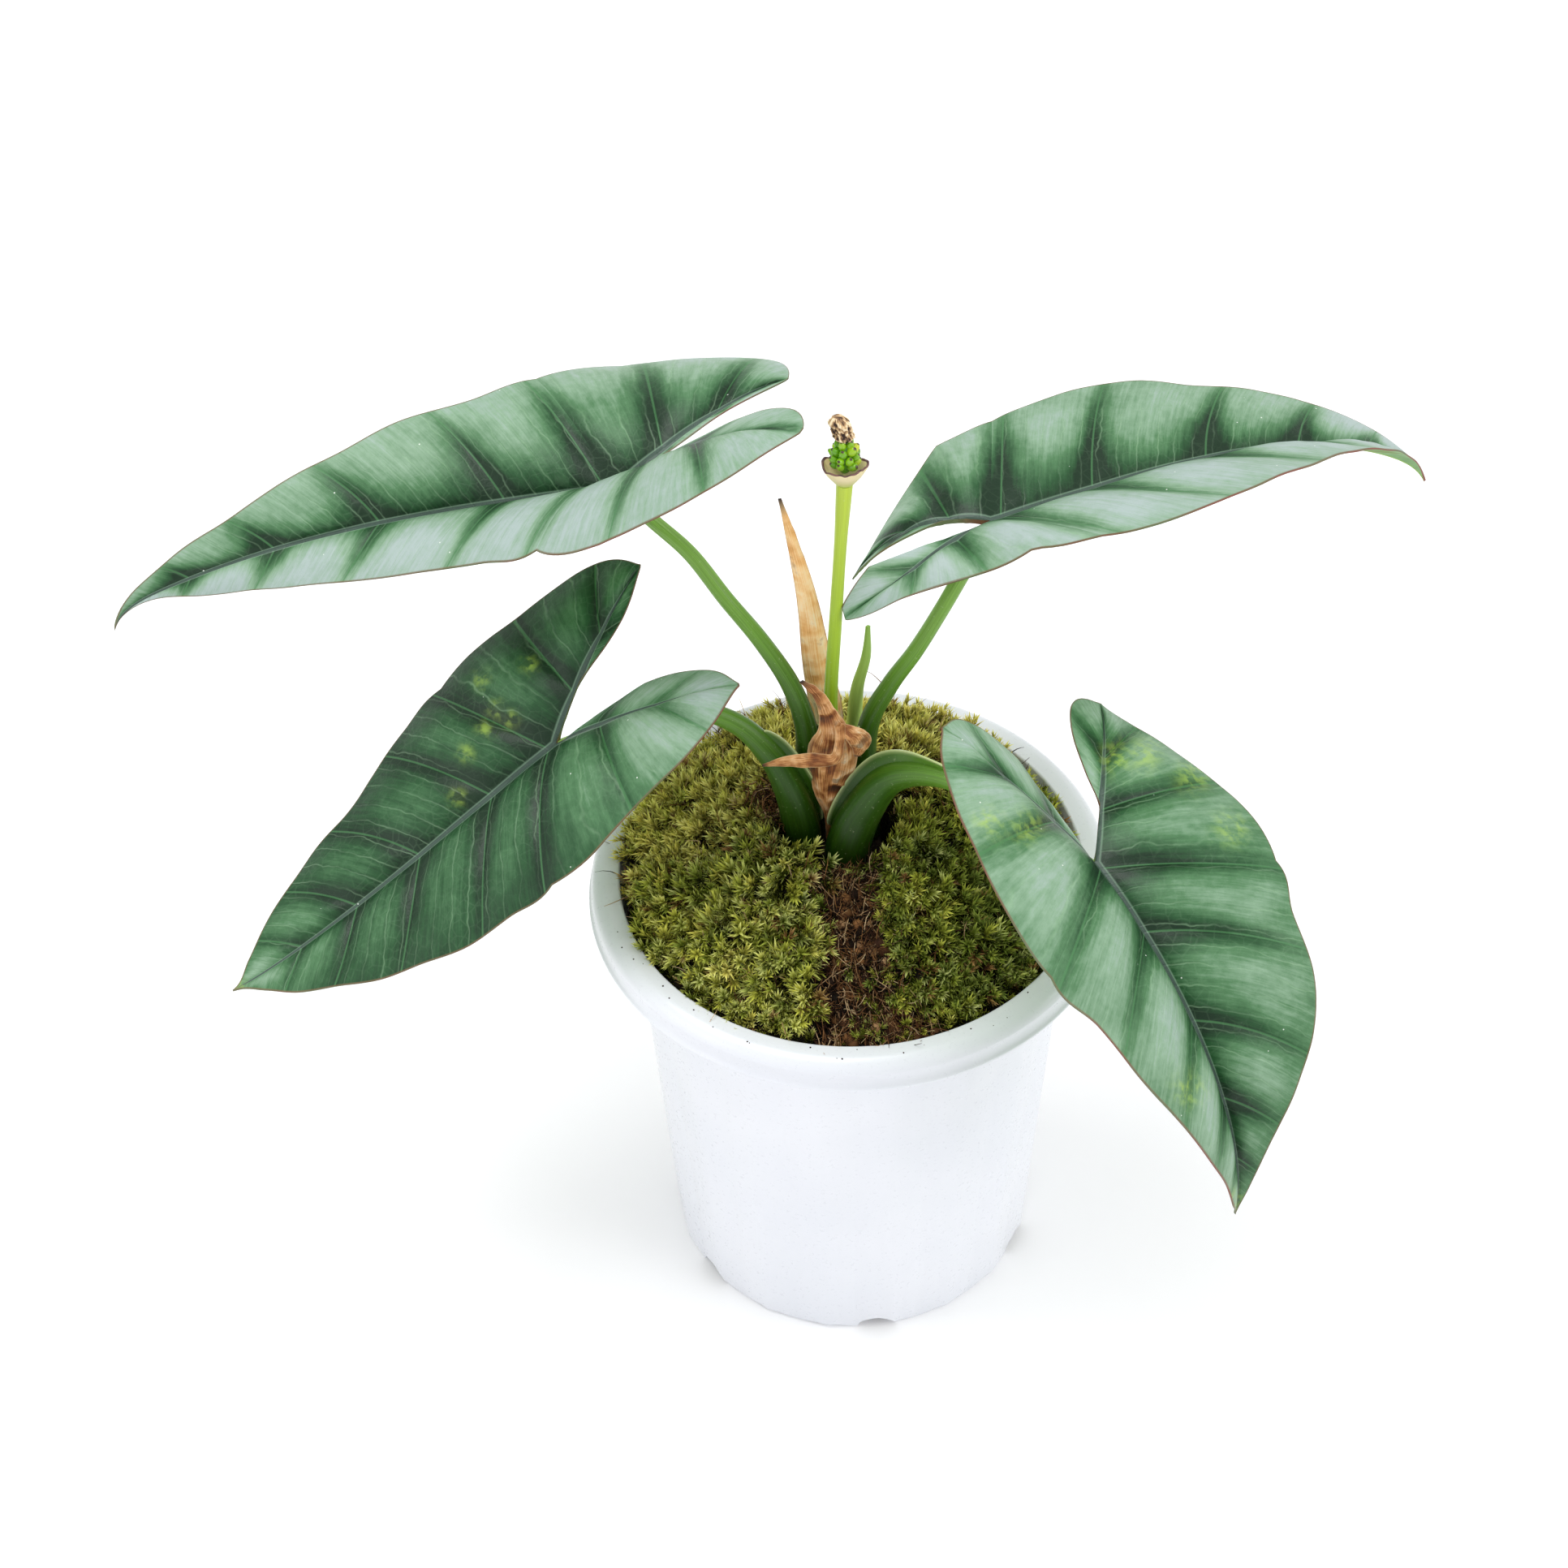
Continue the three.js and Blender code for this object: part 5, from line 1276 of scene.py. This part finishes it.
def blade(name, upper, under, margin):
    leaf = LEAVES[name]
    spine = spine_of(leaf)
    steps = interval_steps()
    lobe_steps = steps[steps <= 0]
    outer = np.linspace(0, 1, BLADE["columns"] + 1)
    outer = 0.62 * outer + 0.38 * (1 - np.cos(math.pi * outer)) / 2
    shared = outer[:: BLADE["columns"] // BLADE["inner_columns"]]
    points, tops, bottoms, faces = [], [], [], []
    shades = {key: [] for key in ("silver_and_painted_sheen", "vein", "rib", "edge", "fine")}
    for side in (1, -1):
        half = 0 if side > 0 else 1
        at_rib, at_margin, between, streak, at_lobe, at_tip = SILVER_AND_PAINTED_SHEEN[name][half]
        for flat, rows, across in ((outward, steps, outer), (inward, lobe_steps, shared)):
            start = sum(len(p) for p in points)
            s, t = (g.ravel() for g in np.meshgrid(rows, across, indexing="ij"))
            # A lobe's end has only the points that both of its strips share
            nearest = shared[np.argmin(np.abs(t[:, None] - shared[None]), axis=1)]
            t = np.where(s == -1, nearest, t)
            u, v, reach, slant = flat(leaf, side, s, t)
            share, width = vein_share(s)
            rib_length = np.where(s < 0, leaf["lobe"][half], leaf["midrib"])
            vein = np.minimum(share, 1 - share) * width * rib_length * slant
            hump = np.sin(math.pi * share) ** 0.8
            arch = np.sin(math.pi * t**0.75) * hump * np.minimum(reach / BLADE["quilt_reach"], 1)
            rise = BLADE["quilt"] * arch * (1 - 0.45 * np.maximum(s, 0)) * (1 if flat is outward else 0.3)
            flats = np.stack([u, v, 0 * u], axis=1)
            blister = crinkle(flats, 3.2, side) * 0.2 * np.sin(math.pi * t) * hump
            ripple = crinkle(flats, 11, side + 4) * 0.5 * t**4 * np.minimum(reach / 12, 1)
            sheet, stand = bent(leaf, spine, u, v, rise + blister + ripple)
            near_rib = np.exp(-((reach * t / 0.9) ** 2)) * (1 - 0.75 * np.abs(s))
            near_vein = 0.35 * np.exp(-((vein / 0.5) ** 2)) * (1 - t) ** 0.6 * (1 if flat is outward else 0)
            thin = BLADE["margin_thickness"] + (BLADE["thickness"] - BLADE["margin_thickness"]) * np.minimum(
                reach * (1 - t) / 6, 1)
            ribs = BLADE["rib_depth"] * np.maximum(near_rib, near_vein)
            points.append(sheet)
            tops.append(sheet + stand * (thin / 2)[:, None])
            bottoms.append(sheet - stand * (thin / 2 + ribs)[:, None])
            # The silver is partly the leaf's own pattern and partly painted sheen: some halves and lobes are
            # made paler as the reflection of the bright studio shows on them at a grazing angle.
            silver_and_painted_sheen = at_rib + (at_margin - at_rib) * t**1.1 + between * hump * np.sin(math.pi * t**0.8)
            silver_and_painted_sheen += at_lobe * np.clip(-s * 1.6, 0, 1) + at_tip * np.clip((s - 0.55) / 0.4, 0, 1)
            silver_and_painted_sheen -= streak * np.exp(-((vein / (3.6 - 2 * t)) ** 2)) * (1 - 0.6 * t)
            shades["silver_and_painted_sheen"].append(silver_and_painted_sheen)
            shades["vein"].append(vein if flat is outward else vein + 9)
            rib_half = 0.3 + 0.75 * (1 - np.abs(s)) ** 0.8
            shades["rib"].append(reach * t / rib_half)
            shades["edge"].append(reach * (1 - t) * 0.8)
            shades["fine"].append(s * rib_length / BLADE["fine_veins"])
            outside = (side > 0) == (flat is outward)
            faces.append(grid_faces(len(rows) - 1, len(across) - 1, start, flip=not outside))
    points = np.vstack(points)
    x, y = pixels(points)
    spots, radius = LIME_SPOTS[name]
    lime = np.zeros(len(points))
    for px, py in spots:
        lime = np.maximum(lime, np.exp(-(((x - px) ** 2 + (y - py) ** 2) / radius**2)))
    piece = mesh_piece("blade_" + name + "_leaf", points, np.vstack(faces), lime=lime,
                       **{key: np.concatenate(part) for key, part in shades.items()})
    for key, part in (("top", tops), ("bottom", bottoms)):
        layer = piece.data.attributes.new(key, "FLOAT_VECTOR", "POINT")
        layer.data.foreach_set("vector", inside_box(np.vstack(part)).astype(np.float32).ravel())
    weld(clad(piece, upper, under, margin))
    # Solidify gives each point a partner, and the two then go to the upper and the lower side
    sides = []
    for key in ("top", "bottom"):
        spots = np.zeros(len(piece.data.vertices) * 3, np.float32)
        piece.data.attributes[key].data.foreach_get("vector", spots)
        sides.append(spots * MM)
        piece.data.attributes.remove(piece.data.attributes[key])
    apply_modifier(piece, "SOLIDIFY", thickness=BLADE["thickness"] * MM, offset=-1, material_offset=1,
                   material_offset_rim=2)
    piece.data.vertices.foreach_set("co", np.concatenate(sides))
    piece.data.update()
    smooth(piece, 50)
    return belongs(piece, ["blade_" + name])


# Stalks

def tube(name, path, radii, rows=120, sides=24, shape=None):
    """A stalk along a smooth path, closed at both ends, with its place along and around it as attributes."""
    centres, along = smooth_path(path, rows + 1)
    one, two = carried_frames(along)
    share = np.linspace(0, 1, rows + 1)
    radius = through(radii, share * (len(radii) - 1))
    turns = np.linspace(0, 2 * math.pi, sides, endpoint=False)
    ring = one[:, None] * np.cos(turns)[None, :, None] + two[:, None] * np.sin(turns)[None, :, None]
    wide = np.repeat(radius[:, None], sides, axis=1)
    if shape is not None:
        wide = wide * shape(share, ring)
    points = (centres[:, None] + ring * wide[..., None]).reshape(-1, 3)
    r, i = np.meshgrid(np.arange(rows), np.arange(sides), indexing="ij")
    a, b = (r * sides + i).ravel(), (r * sides + (i + 1) % sides).ravel()
    faces = [list(f) for f in np.stack([a, b, b + sides, a + sides], axis=1)]
    faces.append(list(range(sides))[::-1])
    faces.append([rows * sides + k for k in range(sides)])
    shares = np.repeat(share, sides)
    return mesh_piece(name, points, faces, along=shares, around=np.tile(turns / (2 * math.pi), rows + 1),
                      edge=np.zeros(len(points)))


def sheath_wing(name, path, radii, wing):
    """The thin edge of a stalk's sheath, which stands up towards the crown and ends in a small ear."""
    start, end, width = wing
    rows, columns = 44, 8
    centres, along = smooth_path(path, PATH_STEPS + 1)
    picks = np.linspace(start, end, rows + 1) * PATH_STEPS
    centre = read_at(picks, np.arange(PATH_STEPS + 1), centres)
    ahead = unit(read_at(picks, np.arange(PATH_STEPS + 1), along))
    inwards = np.stack([CROWN["x"] - centre[:, 0], CROWN["y"] + 6 - centre[:, 1], np.full(rows + 1, 30.0)],
                       axis=1)
    inwards = unit(inwards - ahead * np.sum(inwards * ahead, axis=1, keepdims=True))
    sideways = np.cross(ahead, inwards)
    k = np.linspace(0, 1, rows + 1)
    radius = through(radii, picks / PATH_STEPS * (len(radii) - 1))
    height = width * np.maximum(np.sin(math.pi * np.minimum(0.12 + 0.88 * k**1.4, 1)), 0) ** 0.6
    points, edge, shares = [], [], []
    for row in range(rows + 1):
        for c in range(columns + 1):
            t = c / columns
            curl = 0.5 * height[row] * t**2 * math.sin(7 * k[row] + 1)
            out = radius[row] * 0.5 + (radius[row] * 0.5 + height[row]) * t
            points.append(centre[row] + inwards[row] * out
                          + ahead[row] * 2.2 * t * k[row] ** 2 + sideways[row] * curl)
            edge.append(min(max((t - 0.84) / 0.16, 0), 1))
            shares.append(picks[row] / PATH_STEPS)
    piece = mesh_piece(name, points, grid_faces(rows, columns), along=shares, around=np.array(edge) * 0.2,
                       edge=edge)
    weld(piece)
    apply_modifier(piece, "SOLIDIFY", thickness=0.45 * MM, offset=0)
    return piece


def petiole(name, skin):
    leaf, facts = LEAVES[name], PETIOLES[name]
    stations, at, _, _, up = spine_of(leaf)
    hub = int(np.argmin(np.abs(stations)))
    seat = BLADE["thickness"] / 2 + 0.4 + facts["radii"][-1] * 0.6
    path = [*facts["path"], tuple(at[hub] - up[hub] * seat)]
    stem = tube("stem_" + name, path, facts["radii"])
    wing = sheath_wing("wing_" + name, path, facts["radii"], facts["wing"])
    return complete(joined("petiole_" + name + "_stalk", stem, wing), skin, 50, "petiole_" + name)


def flower_stalk(skin):
    piece = tube("flower_stalk_stem", PEDUNCLE["path"], PEDUNCLE["radii"])
    return complete(piece, skin, 50, "flower_stalk")


# Flower head

def on_stalk(piece):
    """Leans a piece that was made upright as the flower head leans, and sets it on its stalk."""
    select_only(piece)
    lean = Matrix.Rotation(math.radians(SPATHE["tilt"]), 4, "X")
    turn = Matrix.Translation(Vector(SPATHE["base"]) * MM) @ lean
    piece.data.transform(turn)
    piece.data.update()
    return piece


def spathe_cup(material):
    foot, rim, height = SPATHE["foot_radius"], SPATHE["rim_radius"], SPATHE["height"]
    profile = [
        (0, 0), (foot * 0.7, 0), (foot, 0.25), (foot + 0.45, 0.8), (foot + 1.2, 1.7), (rim - 1.1, 2.8),
        (rim - 0.5, 3.9), (rim - 0.1, 4.9), (rim, height - 0.3), (rim - 0.12, height), (rim - 0.42, height),
        (rim - 0.62, height - 0.5), (rim - 1.1, 4.1), (rim - 1.9, 3.1), (foot, 2.5), (0, 2.3),
    ]
    piece = turned("spathe_cup_flesh", profile, 72)
    rims = []
    for vertex in piece.data.vertices:
        x, y, z = vertex.co / MM
        angle = math.atan2(y, x)
        lift = max((z - 3.2) / (height - 3.2), 0)
        wave = 0.3 * math.sin(2 * angle + 2.4) + 0.2 * math.sin(5 * angle) + 0.12 * math.sin(13 * angle)
        spread = 1 + 0.05 * lift * (math.sin(5 * angle + 1) + math.cos(2 * angle))
        vertex.co = Vector((x * spread, y * spread, z + (wave - 0.3) * lift)) * MM
        rims.append(lift)
    store(piece, rim=rims, along=[v.co.z / MM / height for v in piece.data.vertices])
    apply_modifier(piece, "SUBSURF", levels=1, render_levels=1)
    return complete(on_stalk(piece), material, 60, "spathe_cup")


def berries(material):
    rng = np.random.default_rng(5)
    bpy.ops.mesh.primitive_uv_sphere_add(
        segments=32, ring_count=16, radius=BERRIES["core_radius"] * MM,
        location=(0, 0, BERRIES["core_height"] * MM))
    core = bpy.context.active_object
    core.scale = (1, 1, BERRIES["core_stretch"])
    pieces = [placed(core)]
    for ring, (radius, height, count) in enumerate(BERRIES["rings"]):
        for i in range(count):
            turn = (i + 0.5 * (ring % 2)) / count * 2 * math.pi + rng.normal(0, 0.1)
            size = BERRIES["radius"] * rng.uniform(0.86, 1.12)
            bpy.ops.mesh.primitive_uv_sphere_add(segments=20, ring_count=12, radius=size * MM)
            berry = bpy.context.active_object
            stretch = BERRIES["length"] / BERRIES["radius"] * rng.uniform(0.9, 1.15)
            for vertex in berry.data.vertices:
                up = vertex.co.z / (size * MM)
                vertex.co.z = vertex.co.z * stretch * (1 + 0.22 * max(up, 0) ** 3)
            scar = [float(v.co.xy.length < STIGMA * size * MM and v.co.z > 0) for v in berry.data.vertices]
            tint = [1.0 if rng.random() < YELLOW_SHARE else rng.beta(1.4, 2.2)] * len(scar)
            store(berry, scar=scar, tint=tint)
            berry.rotation_euler = (0, math.radians(rng.uniform(40, 72) * (1.15 - 0.22 * ring)), turn)
            where = (radius * math.cos(turn), radius * math.sin(turn), height + rng.uniform(-0.2, 0.4))
            berry.location = Vector(where) * MM
            pieces.append(placed(berry))
    return complete(on_stalk(joined("berries_ripening", *pieces)), material, 80, "berries")


def spadix(material):
    bpy.ops.mesh.primitive_cylinder_add(
        vertices=64, radius=SPADIX["radius"] * MM, depth=SPADIX["height"] * MM)
    piece = bpy.context.active_object
    piece.name = "spadix_stub_cork"
    in_edit_mode(piece, lambda: bpy.ops.mesh.subdivide(number_cuts=14))
    heights = []
    for vertex in piece.data.vertices:
        x, y, z = vertex.co / MM
        share = z / SPADIX["height"] + 0.5
        profile = float(through((0.7, 1.0, 0.9, 1.0, 0.96, 1.0, 0.82, 0.5), np.array(share * 7)))
        coarse = noise.noise(Vector((x, y, z * 0.8)) / 0.9)
        fine = noise.noise(Vector((x, y, z)) / 0.42)
        lump = 1 + 0.2 * coarse + 0.14 * fine
        # The same lumps set the painted shade in the pits.
        heights.append(0.5 + 0.55 * coarse + 0.45 * fine)
        dome = (0.7 + 0.5 * coarse) * (share > 0.99) * (1 - math.hypot(x, y) / SPADIX["radius"])
        where = (x * profile * lump + SPADIX["lean"] * share, y * profile * lump + 0.8 * share,
                 SPADIX["foot"] + share * (SPADIX["height"] - 0.6) + dome)
        vertex.co = Vector(where) * MM
    store(piece, height=heights)
    return complete(on_stalk(piece), material, 70, "spadix_stub")


# Bracts

def ribbon(name, path, half, facing, cup, rows=90, columns=16, rumple=0.35, thickness=0.32):
    """A bract: a ribbon bent round its own length and crinkled."""
    centres, along = smooth_path(path, rows + 1)
    front = np.array(facing, float)
    out = unit(front - along * (along @ front)[:, None])
    side = unit(np.cross(along, out))
    share = np.linspace(0, 1, rows + 1)
    width = np.maximum(through(half, share * (len(half) - 1)), 0.15)
    bow = math.radians(cup)
    turn = bow * np.linspace(-1, 1, columns + 1)
    bend = (width / math.sin(bow))[:, None, None]
    points = (centres[:, None] + side[:, None] * bend * np.sin(turn)[None, :, None]
              - out[:, None] * bend * (1 - np.cos(turn))[None, :, None]).reshape(-1, 3)
    # Folds with sharp backs, and finer crumpling on them
    wave = (0.5 - 2 * np.abs(crinkle(points, 5, 1))) * rumple + crinkle(points, 1.6, 2) * rumple * 0.4
    lift = wave * np.minimum(np.repeat(width, columns + 1) / 2, 1)
    points = points + np.repeat(out, columns + 1, axis=0) * lift[:, None]
    across = np.tile(np.linspace(0, 1, columns + 1), rows + 1)
    # The lift is also kept as fold, which the papery finish turns into painted light and shade on the folds.
    piece = mesh_piece(name, points, grid_faces(rows, columns), along=np.repeat(share, columns + 1),
                       around=across, fold=lift, edge=np.maximum(np.abs(across * 2 - 1) - 0.85, 0) / 0.15)
    apply_modifier(piece, "SOLIDIFY", thickness=thickness * MM, offset=0)
    return piece


def bract(name, suffix, material, rumple, thickness):
    parts = [ribbon(f"{name}_{i}", rumple=rumple, thickness=thickness, **facts)
             for i, facts in enumerate(BRACTS[name])]
    return complete(joined(name + suffix, *parts), material, 60, name)


# Studio

def studio():
    scene = bpy.context.scene
    camera = added("camera", bpy.data.cameras.new("camera"))
    camera.data.lens, camera.data.sensor_width = LENS, SENSOR
    camera.data.clip_start, camera.data.clip_end = 0.02, 50
    turn = Matrix(np.stack([CAMERA_RIGHT, CAMERA_UP, -CAMERA_AHEAD], axis=1).tolist())
    camera.matrix_world = Matrix.Translation(Vector(EYE) * MM) @ turn.to_4x4()
    scene.camera = camera
    world = bpy.data.worlds.new("studio")
    world.use_nodes = True
    sky = next(n for n in world.node_tree.nodes if n.type == "BACKGROUND")
    sky.inputs["Color"].default_value = colour("#ffffff")
    sky.inputs["Strength"].default_value = SKY_STRENGTH
    scene.world = world
    scene.view_settings.view_transform = "Standard"
    for name, place, size, power in LAMPS:
        light = added(name, bpy.data.lights.new(name, "AREA"))
        light.data.size, light.data.energy = size, power
        light.location = place
        light.rotation_euler = (Vector(LAMP_AIM) - Vector(place)).to_track_quat("-Z", "Y").to_euler()
    bpy.ops.mesh.primitive_plane_add(size=FLOOR_SIZE, location=(0, 0, 0))
    floor = bpy.context.active_object
    floor.name = "floor"
    # Smooth matt white paper, which also glows a little as the overexposed backdrop does
    clad(floor, finish("matt_white_paper", Base_Color="#fbfbfc", Roughness=0.9, IOR=1.45,
                       Emission_Color="#ffffff", Emission_Strength=FLOOR_GLOW))


studio()
pot(moulded_polypropylene())
peat = crumbly_peat()
for hidden in ("potting_mix", "crown_stem"):
    clad(frame["nodes"][hidden], peat)
live_moss, dead_moss, fibres = moss_leaf(), moss_ground(), plant_fibre()
for cushion_name in CUSHIONS:
    cushion(cushion_name, live_moss, dead_moss)
peat_ridge(fibres, live_moss, dead_moss)
litter_piece(fibres)
leaf_top, leaf_back, leaf_rim = blade_upper(), blade_underside(), blade_margin()
stalk = stalk_skin(
    "glossy_petiole_skin", [(0.1, "#1b3604"), (0.35, "#32590e"), (0.6, "#6a9834"), (1.0, "#90b85c")],
    "#c3cf92", 0.3)
for leaf_name in LEAVES:
    blade(leaf_name, leaf_top, leaf_back, leaf_rim)
    petiole(leaf_name, stalk)
flower_stalk(stalk_skin("pale_flower_stalk_skin", [(0.1, "#5c8c16"), (0.6, "#9fbf2c"), (1.0, "#bdd148")],
                        "#c8d49a", 0.12))
spathe_cup(spathe_wall())
berries(berry_skin())
spadix(withered_tissue())
tan_paper = papery_bract(
    "tan_papery_bract", [(0.26, "#b8742e"), (0.4, "#f0b269"), (0.54, "#ffd89e"), (0.72, "#fff2d6")],
    "#a05c2c")
brown_paper = papery_bract(
    "brown_papery_bract", [(0.3, "#3a1c06"), (0.44, "#8a4c1c"), (0.56, "#d09458"), (0.72, "#ffe2b8")],
    "#edc896")
bract("bract_dry_tall", "_paper", tan_paper, 0.6, 0.3)
bract("bract_dry_collar", "_paper", brown_paper, 0.8, 0.3)
bract("bract_green", "_shoot", young_bract(), 0.05, 0.8)
